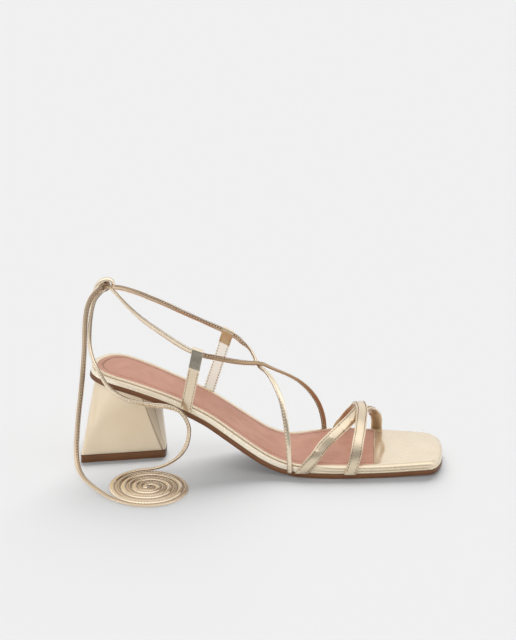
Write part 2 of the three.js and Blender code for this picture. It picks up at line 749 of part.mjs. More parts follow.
function laceCrossing() {
  const overPath = strandPath(INNER_STRAND, ANKLE_OUTER, INNER, ANCHOR_INNER, TAB_OUTER);
  const underPath = strandPath(OUTER_STRAND, ANKLE_INNER, OUTER, ANCHOR_OUTER, TAB_INNER);
  const first = laceStrand(overPath, loopCentre(TAB_OUTER));
  const second = laceStrand(underPath, loopCentre(TAB_INNER));
  return geometryOf(first.add(second).subtract(solidOf(knotGeometry(FIT))));
}

// A free end of the lace: an eight-sided flat section along its route.
const END_CORNERS = 8;
const END_STEPS = 32;
function laceEnd(route) {
  const corners = Array.from({ length: END_CORNERS }, (_, i) => {
    const angle = ((i + 0.5) / END_CORNERS) * Math.PI * 2;
    return new THREE.Vector2((Math.cos(angle) * LACE_WIDTH) / 2, (Math.sin(angle) * LACE_THICKNESS) / 2);
  });
  const path = new THREE.CatmullRomCurve3(route.map((p) => new THREE.Vector3(...p)));
  return new THREE.ExtrudeGeometry(new THREE.Shape(corners), {
    steps: END_STEPS,
    extrudePath: path,
    bevelEnabled: false,
  });
}

// The coil's outer shape: a flat oval ring on the floor.
function laceCoil() {
  const edge = 0.8;
  const radius = COIL_LENGTH / 2;
  const profile = [
    [COIL_EYE / 2, 0],
    [radius - edge, 0],
    [radius, edge],
    [radius, COIL_HEIGHT - edge],
    [radius - edge, COIL_HEIGHT],
    [COIL_EYE / 2, COIL_HEIGHT],
    [COIL_EYE / 2, 0],
  ].map(([x, y]) => new THREE.Vector2(x, y));
  const geometry = new THREE.LatheGeometry(profile, 40);
  geometry.rotateX(Math.PI / 2);
  geometry.scale(1, COIL_WIDTH / COIL_LENGTH, 1);
  geometry.translate(COIL_CENTRE_X, COIL_CENTRE_Y, 0);
  return geometry;
}

const GOLD = { color: 0xd9c3a0, roughness: 0.35, metalness: 0.6 };
const BROWN = { color: 0x6a4428, roughness: 0.6, metalness: 0 };
const TAN = { color: 0xc4927c, roughness: 0.65, metalness: 0 };

const pieces = [
  ['outsole', outsole(), BROWN],
  ['platform', platform(), GOLD],
  ['insole', insole(), TAN],
  ['heel', heel(), GOLD],
  ['heel_lift', heelLift(), BROWN],
  ['toe_straps', toeStraps(), GOLD],
  ['tab_outer', tabGeometry(TAB_OUTER), GOLD],
  ['tab_inner', tabGeometry(TAB_INNER), GOLD],
  ['lace_crossing', laceCrossing(), GOLD],
  ['lace_knot', knotGeometry(0), GOLD],
  ['lace_end_outer', laceEnd(OUTER_END_ROUTE), GOLD],
  ['lace_end_inner', laceEnd(INNER_END_ROUTE), GOLD],
  ['lace_coil', laceCoil(), GOLD],
];

const sandal = new THREE.Group();
pieces.forEach(([name, geometry, finish]) => {
  const mesh = new THREE.Mesh(geometry, new THREE.MeshStandardMaterial(finish));
  mesh.name = name;
  sandal.add(mesh);
});

export default sandal;
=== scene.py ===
"""A lace-up heeled sandal for the right foot: its leather, stitches, lace and light, built around
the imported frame. Shapes are worked out in millimetres, in the frame's own axes: +X to the toe,
+Y to the inner side of the foot, +Z up, with the floor at z = 0."""

import math

import bmesh
import bpy
import numpy as np
from bpy.props import FloatProperty, FloatVectorProperty, PointerProperty
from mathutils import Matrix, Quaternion, Vector


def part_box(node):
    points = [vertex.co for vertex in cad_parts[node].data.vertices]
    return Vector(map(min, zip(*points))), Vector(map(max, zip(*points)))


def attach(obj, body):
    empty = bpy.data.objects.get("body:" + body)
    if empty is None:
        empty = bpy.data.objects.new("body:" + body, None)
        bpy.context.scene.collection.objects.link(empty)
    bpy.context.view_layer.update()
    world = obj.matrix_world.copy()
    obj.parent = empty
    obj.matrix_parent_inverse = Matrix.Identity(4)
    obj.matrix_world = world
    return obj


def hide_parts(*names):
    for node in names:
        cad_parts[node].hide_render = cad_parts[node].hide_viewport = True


bl_info = {
    "name": "Lace-up heeled sandal",
    "version": (1, 0, 0),
    "blender": (4, 5, 0),
    "location": "View3D > Sidebar > Sandal",
    "description": "Builds a lace-up heeled sandal with a flared block heel around its frame",
    "category": "Add Mesh",
}

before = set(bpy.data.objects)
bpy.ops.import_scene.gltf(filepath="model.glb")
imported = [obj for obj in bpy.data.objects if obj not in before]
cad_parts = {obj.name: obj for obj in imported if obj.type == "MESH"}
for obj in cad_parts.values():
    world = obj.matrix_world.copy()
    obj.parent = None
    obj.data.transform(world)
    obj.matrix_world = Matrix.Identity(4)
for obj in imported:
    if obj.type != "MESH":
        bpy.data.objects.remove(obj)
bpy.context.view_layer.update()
MM = 0.001

# Sizes of the sole, the heel, the straps and the lace, as in the frame. FIT is the gap between two
# pieces, LOOP_PLAY the lace's room in a tab's loop, and SEAT_SKEW how far the seat's inner back
# corner is moved forwards.
SOLE_LENGTH = 230.0
HALF_BALL = 39.0
BACK_OVERHANG = 23.0
SEAT_RISE = 55.4
TOE_SPRING = 1.2
PLATFORM_THICKNESS = 5.3
OUTSOLE_THICKNESS = 3.0
INSOLE_THICKNESS = 1.2
INSOLE_LENGTH = 186.0
RIM_WIDTH = 3.2
SEAT_ROUND = 23.0
SEAT_SKEW = 5.0

# Where along the shoe the platform's edge changes from its form at the waist to the one at the
# ball, and where the painted shade of the dark line under its bead ends.
BALL_STRETCH = (112.0, 142.0)
SEAM_SHADE_END = 118.0

# The heel's plan: steps of its curve from corner to corner, how many such spans go round it, and
# the corners between which its faces come to be flat and stop being so.
HEEL_STEPS = 14
HEEL_SPANS = 18
HEEL_FLATS = (14.0, 14.7, 17.2, 18.0)
TOE_ROUND = {-1: 10.0, 1: 16.0}
HEEL_LENGTH = 54.5
HEEL_WIDTH = 45.0
LIFT_THICKNESS = 5.0
STRAP_ARCH = 28.0
TAB_WIDTH = 7.0
TAB_WALL = 1.3
KNOT = np.array([0.047 * SOLE_LENGTH - BACK_OVERHANG, 0.0, 114.3])
FIT = 0.3
LOOP_PLAY = 0.85
SOLE_THICKNESS = PLATFORM_THICKNESS + FIT + OUTSOLE_THICKNESS
BAND_FOOT = OUTSOLE_THICKNESS + 2 * FIT
OUTER, INNER = -1, 1

# The sole's sections, one row for each: share of the length, outer and inner half widths as shares
# of half the ball's width, share of the seat's rise and share of the toe's spring.
SECTION_NAMES = ("along", "outer", "inner", "rise", "spring")
SECTIONS = np.array([
    (0.0, 0.66, 0.64, 1.0, 0.0),
    (0.08, 0.66, 0.64, 0.93, 0.0),
    (0.165, 0.67, 0.6, 0.826, 0.0),
    (0.25, 0.65, 0.54, 0.69, 0.0),
    (0.34, 0.66, 0.555, 0.51, 0.0),
    (0.425, 0.735, 0.56, 0.288, 0.0),
    (0.47, 0.8, 0.54, 0.172, 0.0),
    (0.515, 0.89, 0.505, 0.078, 0.0),
    (0.56, 0.97, 0.54, 0.02, 0.0),
    (0.605, 1.04, 0.67, 0.0, 0.0),
    (0.65, 1.07, 0.8, 0.0, 0.0),
    (0.69, 1.07, 0.89, 0.0, 0.0),
    (0.735, 1.05, 0.93, 0.0, 0.0),
    (0.82, 0.985, 0.875, 0.0, 0.02),
    (0.9, 0.9, 0.785, 0.0, 0.35),
    (1.0, 0.79, 0.67, 0.0, 1.0),
])

# The heel's plan from the middle of its back to the middle of its front: along and across at the
# top, along and across at the foot, as shares of its length and width.
HEEL_CORNERS = np.array([
    (-0.376, 0.0, -0.495, 0.0),
    (-0.371, 0.16, -0.495, 0.18),
    (-0.341, 0.29, -0.495, 0.36),
    (-0.284, 0.4, -0.495, 0.48),
    (-0.183, 0.475, -0.481, 0.5),
    (-0.037, 0.51, -0.275, 0.437),
    (0.235, 0.52, 0.473, 0.196),
    (0.343, 0.389, 0.493, 0.16),
    (0.415, 0.178, 0.502, 0.09),
    (0.426, 0.0, 0.502, 0.0),
])

# The toe straps: way along the shoe from the outer foot to the inner one, place across, and height
# as a share of the straps' arch.
FRONT_STRAP_FEET = (0.739, 0.696)
FRONT_STRAP = np.array([
    (0.03, -1.0, -0.3),
    (-0.27, -1.0, 0.075),
    (-0.44, -0.95, 0.325),
    (-0.55, -0.83, 0.564),
    (-0.63, -0.71, 0.68),
    (-0.7, -0.475, 0.868),
    (-0.74, -0.19, 0.955),
    (-0.66, 0.03, 0.975),
    (-0.56, 0.27, 0.92),
    (-0.42, 0.46, 0.8),
    (-0.22, 0.65, 0.62),
    (0.1, 0.82, 0.41),
    (0.46, 0.94, 0.17),
    (0.8, 1.0, -0.04),
    (1.0, 1.0, -0.3),
])
BACK_STRAP_FEET = (0.608, 0.813)
BACK_STRAP = np.array([
    (-0.05, -1.0, -0.3),
    (0.065, -1.0, 0.0),
    (0.165, -0.965, 0.19),
    (0.28, -0.835, 0.42),
    (0.396, -0.71, 0.575),
    (0.51, -0.565, 0.7),
    (0.631, -0.377, 0.815),
    (0.725, -0.19, 0.9),
    (0.788, 0.0, 0.925),
    (0.85, 0.165, 0.871),
    (0.9, 0.385, 0.735),
    (0.957, 0.66, 0.525),
    (0.996, 0.87, 0.29),
    (1.0, 1.0, 0.02),
    (1.0, 1.0, -0.3),
])

# The two side tabs: side, share along the sole, height over the foot, lean inwards and forwards at
# the top, and the top's slope and turn for each millimetre across. FOLD_LENGTH is how far the strip
# comes down again from the loop's middle.
FOLD_LENGTH = 9.5
TAB_OUTER = {
    "side": OUTER, "along": 0.277, "height": 41.7, "lean_in": 5.4,
    "lean_forward": 8.0, "top_tilt": -0.38, "top_turn": -0.14,
}
TAB_INNER = {
    "side": INNER, "along": 0.328, "height": 49.5, "lean_in": 6.2,
    "lean_forward": 14.5, "top_tilt": -0.41, "top_turn": -0.27,
}

# The lace's strands over the instep, from the sole's side to the tab on the other side: way, share
# across, share up. Then round the ankle, from the tab to the knot, in the same columns.
ANCHOR_OUTER = 0.573
ANCHOR_INNER = 0.663
INNER_STRAND = np.array([
    (0.0, 0.0, 0.0),
    (0.0, 0.004, 0.055),
    (0.008, 0.02, 0.142),
    (0.032, 0.057, 0.257),
    (0.068, 0.106, 0.357),
    (0.123, 0.175, 0.46),
    (0.2, 0.27, 0.565),
    (0.277, 0.37, 0.643),
    (0.356, 0.465, 0.706),
    (0.434, 0.555, 0.762),
    (0.512, 0.636, 0.805),
    (0.59, 0.707, 0.839),
    (0.667, 0.779, 0.867),
    (0.745, 0.842, 0.895),
    (0.884, 0.944, 0.951),
])
OUTER_STRAND = np.array([
    (0.0, 0.0, 0.0),
    (0.009, 0.005, 0.09),
    (0.025, 0.031, 0.224),
    (0.058, 0.084, 0.363),
    (0.083, 0.127, 0.443),
    (0.113, 0.18, 0.521),
    (0.152, 0.241, 0.594),
    (0.215, 0.325, 0.662),
    (0.293, 0.424, 0.723),
    (0.379, 0.537, 0.762),
    (0.461, 0.642, 0.788),
    (0.536, 0.738, 0.82),
    (0.655, 0.848, 0.888),
    (0.797, 0.922, 0.945),
])
ANKLE_OUTER = np.array([
    (0.18, 1.032, 0.135),
    (0.286, 1.047, 0.245),
    (0.396, 1.048, 0.366),
    (0.507, 1.022, 0.482),
    (0.612, 0.955, 0.595),
    (0.722, 0.816, 0.723),
    (0.832, 0.574, 0.855),
    (0.92, 0.29, 0.95),
    (1.0, 0.0, 1.0),
])
ANKLE_INNER = np.array([
    (0.152, 1.135, 0.13),
    (0.236, 1.19, 0.2),
    (0.32, 1.223, 0.276),
    (0.404, 1.235, 0.357),
    (0.485, 1.223, 0.442),
    (0.57, 1.177, 0.53),
    (0.655, 1.085, 0.618),
    (0.734, 0.94, 0.71),
    (0.814, 0.714, 0.8),
    (0.89, 0.43, 0.885),
    (1.0, 0.0, 0.96),
])

# The lace's free ends, point by point from the knot to the coil on the floor.
OUTER_END_ROUTE = np.array([
    (-13.4, -2.6, 115.2),
    (-16.6, -3.6, 112.7),
    (-21.0, -5.0, 107.6),
    (-23.7, -6.0, 101.5),
    (-25.2, -7.8, 92.0),
    (-25.7, -10.0, 73.0),
    (-26.4, -12.5, 60.0),
    (-27.2, -16.5, 48.0),
    (-28.2, -23.0, 36.0),
    (-28.7, -30.0, 24.6),
    (-28.6, -38.5, 13.0),
    (-26.9, -46.5, 6.0),
    (-23.6, -54.5, 2.9),
    (-19.6, -62.5, 1.9),
    (-15.4, -70.2, 1.6),
    (-10.9, -77.6, 1.5),
    (-6.3, -84.6, 1.4),
    (-1.0, -91.0, 1.35),
])
INNER_END_ROUTE = np.array([
    (-12.4, -1.4, 113.0),
    (-15.2, -1.9, 110.3),
    (-19.0, -4.0, 105.8),
    (-20.7, -5.4, 100.6),
    (-21.8, -7.6, 93.0),
    (-22.2, -10.6, 84.0),
    (-21.6, -15.0, 76.5),
    (-19.4, -20.6, 71.0),
    (-16.6, -25.6, 66.5),
    (-12.8, -30.0, 61.4),
    (-8.6, -33.0, 56.2),
    (-2.4, -35.0, 51.6),
    (4.6, -35.4, 48.2),
    (12.5, -35.2, 46.2),
    (21.0, -34.8, 45.0),
    (30.0, -34.8, 44.2),
    (36.8, -35.0, 41.8),
    (41.2, -35.6, 37.0),
    (43.6, -36.0, 30.4),
    (43.4, -36.2, 24.0),
    (41.8, -36.2, 18.0),
    (38.6, -36.0, 12.6),
    (34.2, -35.8, 8.2),
    (29.2, -35.4, 4.9),
    (23.8, -35.8, 2.8),
])

# The coil: half sizes and centre in plan, how much of its half each turn takes off, the height of
# the lace's middle, and the lean of the lace's face from level, in degrees.
COIL_HALF = np.array([26.6, 33.6])
COIL_CENTRE = np.array([20.0, -68.6])
COIL_PITCH = 0.27
COIL_LAY_HEIGHT = 1.35
COIL_LEAN = 82
POINTS_PER_TURN = 40

# The middle line of the foot and the leg that the straps turn their faces away from: share of the
# sole's length, and height as a share of the knot's.
FOOT_LINE = np.array([
    (0.13, 1.25),
    (0.17, 1.0),
    (0.26, 0.703),
    (0.4, 0.485),
    (0.55, 0.267),
    (0.75, 0.122),
    (0.95, 0.073),
])


def unit(vectors):
    """Each vector over its length."""
    return vectors / np.maximum(np.linalg.norm(vectors, axis=-1, keepdims=True), 1e-9)


def lerp(start, end, share):
    """From start to end by a share of the way."""
    return start + (end - start) * share


def smoothstep(low, high, value):
    """0 below low, 1 above high, and 3 t^2 - 2 t^3 between them."""
    share = np.clip((value - low) / (high - low), 0, 1)
    return share * share * (3 - 2 * share)


def section(name, along):
    """Monotone cubic through one column of SECTIONS: a Hermite curve whose tangent at each row is
    the harmonic mean of the slopes beside it, or 0 where they differ in sign."""
    knots, values = SECTIONS[:, 0], SECTIONS[:, SECTION_NAMES.index(name)]
    slopes = np.diff(values) / np.diff(knots)
    before, after = np.append(slopes[0], slopes), np.append(slopes, slopes[-1])
    same = before * after > 0
    tangents = np.where(same, 2 * before * after / np.where(same, before + after, 1), 0)
    along = np.clip(along, 0, 1)
    i = np.clip(np.searchsorted(knots, along, side="right") - 1, 0, len(knots) - 2)
    span = knots[i + 1] - knots[i]
    u = (along - knots[i]) / span
    rest = 1 - u
    start = values[i] * (1 + 2 * u) * rest**2 + tangents[i] * span * u * rest**2
    return start + values[i + 1] * (3 - 2 * u) * u**2 - tangents[i + 1] * span * u**2 * rest


def along_to_x(along):
    """The place in millimetres of a share of the sole's length from its back."""
    return along * SOLE_LENGTH - BACK_OVERHANG


INSOLE_FRONT = along_to_x((INSOLE_LENGTH - 1.0 + FIT) / SOLE_LENGTH)


def top_height(x):
    """Height of the platform's top: the seat's rise and the toe's spring over the sole."""
    along = (x + BACK_OVERHANG) / SOLE_LENGTH
    return SOLE_THICKNESS + section("rise", along) * SEAT_RISE + section("spring", along) * TOE_SPRING


def top_slope(x):
    """Rise of the platform's top over one millimetre about x."""
    return top_height(x + 0.5) - top_height(x - 0.5)


def layer_height(x, depth):
    """Height of a layer that lies square to the platform's top."""
    return top_height(x) - depth * np.hypot(1, top_slope(x))


def half_width(side, along):
    """The sole's half width on one side: its section's share of half the ball's width."""
    return section("outer" if side == OUTER else "inner", along) * HALF_BALL


def round_end(turn, power):
    """A quarter of a superellipse: how far it has come along, 1 - cos^(2/p), and how wide, sin^(2/p)."""
    return 1 - np.abs(np.cos(turn)) ** (2 / power), np.sin(turn) ** (2 / power)


SEAT_STATIONS, SIDE_STATIONS, TOE_STATIONS = 44, 170, 60


def side_outline(side, inset, front=None, front_gap=0.0):
    """One side of the sole in plan, from the middle of its back to the middle of its toe, or to a
    straight front edge: half widths from the sections, with a superellipse round the seat and the
    toe, moved inwards square to itself."""
    ahead, wide = round_end(np.linspace(0, math.pi / 2, SEAT_STATIONS), 2.1)
    seat = ahead * SEAT_ROUND / SOLE_LENGTH
    toe_start = 1 - TOE_ROUND[INNER] / SOLE_LENGTH
    stop = toe_start if front is None else (front + BACK_OVERHANG) / SOLE_LENGTH
    split = (INSOLE_LENGTH + FIT) / SOLE_LENGTH
    middle = np.linspace(seat[-1], stop, SIDE_STATIONS)
    if front is None:
        wall = 0.06 / SOLE_LENGTH
        behind = np.linspace(seat[-1], split - wall, SIDE_STATIONS - 20)
        middle = np.concatenate((behind, np.linspace(split + wall, stop, 20)))
    along = np.concatenate((seat, middle[1:]))
    fullness = np.concatenate((wide, np.ones(len(middle) - 1)))
    if front is None:
        straight = 16 if side == OUTER else 1
        ahead, wide = round_end(np.linspace(math.pi / 2, 0, TOE_STATIONS - straight + 1), 2.5)
        end = 1 - TOE_ROUND[side] / SOLE_LENGTH
        along = np.concatenate((
            along,
            np.linspace(toe_start, end, straight + 1)[1:],
            (1 - ahead * TOE_ROUND[side] / SOLE_LENGTH)[1:],
        ))
        fullness = np.concatenate((fullness, np.ones(straight), wide[1:]))
    plan = np.stack((along_to_x(along), side * half_width(side, along) * fullness), 1)
    run = unit(np.gradient(plan, axis=0))
    run[0] = (0, side)
    if front is None:
        run[-1] = (0, -side)
    moved = plan + inset * side * np.stack((run[:, 1], -run[:, 0]), 1)
    if front is not None:
        moved[:, 0] = np.minimum(moved[:, 0], front - front_gap)
        moved[-1] = (front - front_gap, moved[-1, 1])
    return skewed(moved)


def on_sole(plan, depth):
    """Points of the plan at a depth below the platform's top, square to its slope."""
    x = plan[..., 0]
    slope = top_slope(x)
    length = np.hypot(1, slope)
    return np.stack((x + depth * slope / length, plan[..., 1], top_height(x) - depth / length), -1)


def skewed(plan, share=1.0):
    """The seat is rounder at the inner side of its back: each point there is moved forwards, by
    SEAT_SKEW times a smooth step across the shoe, times one that fades out along it."""
    back = 1 - smoothstep(-23.0, 22.0, plan[:, 0])
    forwards = SEAT_SKEW * smoothstep(-19.0, 14.0, plan[:, 1]) * back * share
    return np.column_stack((plan[:, 0] + forwards, plan[:, 1]))


def sole_loop(inset, depth, front=None, front_gap=0.0):
    """A closed loop round the sole: up the outer side and back down the inner one."""
    outer = on_sole(side_outline(OUTER, inset, front, front_gap), depth)
    inner = on_sole(side_outline(INNER, inset, front, front_gap), depth)
    back = inner[1:-1] if front is None else inner[1:]
    return np.concatenate((outer, back[::-1]))


def changing_loop(row, low, high):
    """A sole loop whose inset and depth change from the row's first pair to its second one, over
    the stretch of the shoe from low to high."""
    sides = []
    for side in (OUTER, INNER):
        share = smoothstep(low, high, side_outline(side, 0.0)[:, 0])
        plan = side_outline(side, lerp(row[0], row[2], share)[:, None])
        sides.append(on_sole(plan, lerp(row[1], row[3], share)))
    return np.concatenate((sides[0], sides[1][1:-1][::-1]))


def grid_faces(rows, columns, offset=0):
    """Quads over a grid of points stored row by row."""
    first = (np.arange(rows - 1)[:, None] * columns + np.arange(columns - 1)).ravel() + offset
    return np.stack((first, first + 1, first + columns + 1, first + columns), 1)


class Shape:
    """Vertices, quads, face materials and UVs of the parts of one piece, gathered before its mesh."""

    def __init__(self):
        self.vertices, self.faces, self.slots, self.uvs = [], [], [], []
        self.count = 0

    def add(self, vertices, faces, slots=0, uvs=None):
        """One more part: its faces count on from the vertices before it."""
        self.vertices.append(vertices)
        self.faces.append(faces + self.count)
        self.slots.append(np.broadcast_to(slots, len(faces)))
        self.uvs.append(np.zeros((len(vertices), 2)) if uvs is None else uvs)
        self.count += len(vertices)

    def grid(self, points, slots=0, uvs=None):
        """A surface over a grid of points, (rows, columns, 3)."""
        rows, columns = points.shape[:2]
        flat = None if uvs is None else uvs.reshape(-1, 2)
        self.add(points.reshape(-1, 3), grid_faces(rows, columns), slots, flat)

    def cut_below(self, height):
        """Ends every part so far level with a height, as a strap is cut along the sole's edge: each z
        is the larger of itself and the height."""
        for vertices in self.vertices:
            vertices[:, 2] = np.maximum(vertices[:, 2], height)

    def loops(self, loops, uvs=None, slots=0):
        """A skin over closed loops with the same number of points: its seam is doubled, then merged."""
        closed = np.concatenate((loops, loops[:, :1]), axis=1)
        self.grid(closed, slots, uvs)

    def across(self, loop, columns=2):
        """Closes a loop by strips across it, from each point to its partner on the other side."""
        half = len(loop) // 2 + 1
        partner = loop[-np.arange(half) % len(loop)]
        share = np.linspace(0, 1, columns)
        self.grid(lerp(loop[:half, None], partner[:, None], share[None, :, None]))

    def piece(self, name, materials, sharp_angle=None):
        """The finished mesh object, its doubles merged and its faces turned outwards."""
        mesh = bpy.data.meshes.new(name)
        vertices, faces = np.concatenate(self.vertices) * MM, np.concatenate(self.faces)
        mesh.from_pydata(vertices.tolist(), [], faces.tolist())
        mesh.polygons.foreach_set("material_index", np.concatenate(self.slots).astype(np.int32))
        corners = np.empty(len(mesh.loops), np.int32)
        mesh.loops.foreach_get("vertex_index", corners)
        layer = mesh.uv_layers.new(name="along_and_across")
        layer.uv.foreach_set("vector", np.concatenate(self.uvs)[corners].astype(np.float32).ravel())
        tidy = bmesh.new()
        tidy.from_mesh(mesh)
        bmesh.ops.remove_doubles(tidy, verts=tidy.verts, dist=2e-6)
        bmesh.ops.dissolve_degenerate(tidy, edges=tidy.edges, dist=1e-6)
        bmesh.ops.recalc_face_normals(tidy, faces=tidy.faces)
        tidy.to_mesh(mesh)
        tidy.free()
        mesh.shade_smooth()
        if sharp_angle:
            mesh.set_sharp_from_angle(angle=math.radians(sharp_angle))
        for material in materials:
            mesh.materials.append(material)
        piece = bpy.data.objects.new(name, mesh)
        bpy.context.scene.collection.objects.link(piece)
        return piece


def place(piece, slot, *nodes):
    """Sets a piece into the frame: it rides on the root and stands for the named nodes."""
    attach(piece, "root")
    if nodes:
        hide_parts(*nodes)
    return piece


def smooth_line(points, steps_each=24):
    """Centripetal Catmull-Rom curve through points: a cubic Hermite piece between each pair, with
    knots spaced by the square root of the distance."""
    first, last = 2 * points[0] - points[1], 2 * points[-1] - points[-2]
    p = np.concatenate((first[None], points, last[None]))
    gap = np.sqrt(np.maximum(np.linalg.norm(np.diff(p, axis=0), axis=1), 1e-6))[:, None]
    a, b, c, d = p[:-3], p[1:-2], p[2:-1], p[3:]
    ab, bc, cd = gap[:-2], gap[1:-1], gap[2:]
    start = ((b - a) / ab - (c - a) / (ab + bc) + (c - b) / bc) * bc
    end = ((c - b) / bc - (d - b) / (bc + cd) + (d - c) / cd) * bc
    t = np.linspace(0, 1, steps_each, endpoint=False)[None, :, None]
    b, c, start, end = (v[:, None] for v in (b, c, start, end))
    curve = (
        b * (2 * t**3 - 3 * t**2 + 1) + start * (t**3 - 2 * t**2 + t)
        + c * (3 * t**2 - 2 * t**3) + end * (t**3 - t**2)
    )
    return np.concatenate((curve.reshape(-1, points.shape[1]), points[-1:]))


def lengths_along(points):
    """Distance along a line to each of its points: the running sum of its steps."""
    return np.append(0, np.cumsum(np.linalg.norm(np.diff(points, axis=0), axis=1)))


def at_lengths(points, values, wanted):
    """Values given at the points of a line, read at other lengths along it."""
    known = lengths_along(points)
    columns = [np.interp(wanted, known, values[:, i]) for i in range(values.shape[1])]
    return np.stack(columns, 1)


def spaced(points, step):
    """The same line with points an even step apart."""
    total = lengths_along(points)[-1]
    return at_lengths(points, points, np.linspace(0, total, max(2, round(total / step) + 1)))


def foot_samples():
    """Points of the smooth curve through FOOT_LINE."""
    x, z = along_to_x(FOOT_LINE[:, 0]), FOOT_LINE[:, 1] * KNOT[2]
    return smooth_line(np.stack((x, np.zeros_like(x), z), 1), 10)


def away_from_foot(points):
    """The direction from the nearest point of the foot's middle line to each point."""
    core = foot_samples()
    nearest = np.linalg.norm(points[:, None] - core[None], axis=2).argmin(1)
    return unit(points - core[nearest])


def frame_of(path, face):
    """Run, across and face directions at each point of a band's path."""
    run = unit(np.gradient(path, axis=0))
    face = unit(face - run * np.sum(face * run, 1, keepdims=True))
    return run, np.cross(face, run), face


def band_section(width, thickness, points=28, power=2.8, crown=0.0, groove=None, groove_depth=0.0):
    """A band's closed section: a superellipse of across = a |cos|^(2/p) and out = b |sin|^(2/p),
    with a crown on its outer face and a groove pressed in at the stitches."""
    turn = np.linspace(0, 2 * math.pi, points + 1)
    across = np.sign(np.cos(turn)) * np.abs(np.cos(turn)) ** (2 / power) * width / 2
    out = np.sign(np.sin(turn)) * np.abs(np.sin(turn)) ** (2 / power) * thickness / 2
    top = out > 0
    out = out + top * crown * (1 - (2 * across / width) ** 2)
    if groove is not None:
        near = np.exp(-(((np.abs(across) - groove) / 0.3) ** 2))
        out = out - top * groove_depth * near
    return np.stack((across, out), 1)


def sweep(shape, path, face, outline, slots=0):
    """Carries a closed section along a path: point = path + across * u + face * v. Each end is
    closed by the section drawn in to its middle in three steps, a quarter round."""
    run, across, face = frame_of(path, face)
    body = path[:, None] + across[:, None] * outline[None, :, :1] + face[:, None] * outline[None, :, 1:]
    reach = np.abs(outline[:, 1]).max()
    closing = np.array([0.0, 0.5, 0.85])
    inward = np.sqrt(1 - closing**2)[:, None, None]
    front = path[:1] + (body[:1] - path[:1]) * inward[::-1] * np.array([0, 1, 1])[:, None, None]
    front = front - run[0] * (reach * closing[::-1])[:, None, None]
    back = path[-1:] + (body[-1:] - path[-1:]) * inward * np.array([1, 1, 0])[:, None, None]
    back = back + run[-1] * (reach * closing)[:, None, None]
    points = np.concatenate((front, body, back))
    along = np.concatenate((np.zeros(3), lengths_along(path), np.full(3, lengths_along(path)[-1])))
    turn = np.linspace(0, 1, len(outline))
    uvs = np.stack(np.broadcast_arrays(along[:, None], turn[None]), -1)
    if np.ndim(slots) == 1:
        slots = np.tile(slots, len(points) - 1)
    elif np.ndim(slots) == 2:
        slots = np.concatenate((slots[:1].repeat(3, 0), slots, slots[-1:].repeat(3, 0))).ravel()
    shape.grid(points, slots, uvs)


def stitches(shape, path, face, offset, height, slot, pitch, length, radius, margin=2.0):
    """A row of stitches beside a path: each is a spindle, radius * sqrt(1 - t^4) for t from -1 to 1
    along the run, half sunk into the leather."""
    run, across, face = frame_of(path, face)
    total = lengths_along(path)[-1]
    count = max(1, int((total - 2 * margin) / pitch))
    places = margin + (np.arange(count) + 0.5) * (total - 2 * margin) / count
    centre = at_lengths(path, path + across * offset + face * height, places)
    run, across, face = (unit(at_lengths(path, v, places)) for v in (run, across, face))
    t = np.array([-1, -0.75, 0, 0.75, 1])
    wide = radius * np.sqrt(1 - t**4)
    turn = np.linspace(0, 2 * math.pi, 6)
    along = run[:, None, None] * (t * length / 2)[None, :, None, None]
    around = (
        across[:, None, None] * np.cos(turn)[None, None, :, None]
        + face[:, None, None] * np.sin(turn)[None, None, :, None]
    ) * wide[None, :, None, None]
    points = centre[:, None, None] + along + around
    one = grid_faces(len(t), len(turn))
    each = len(t) * len(turn)
    faces = (one[None] + (np.arange(count) * each)[:, None, None]).reshape(-1, 4)
    shape.add(points.reshape(-1, 3), faces, slot)


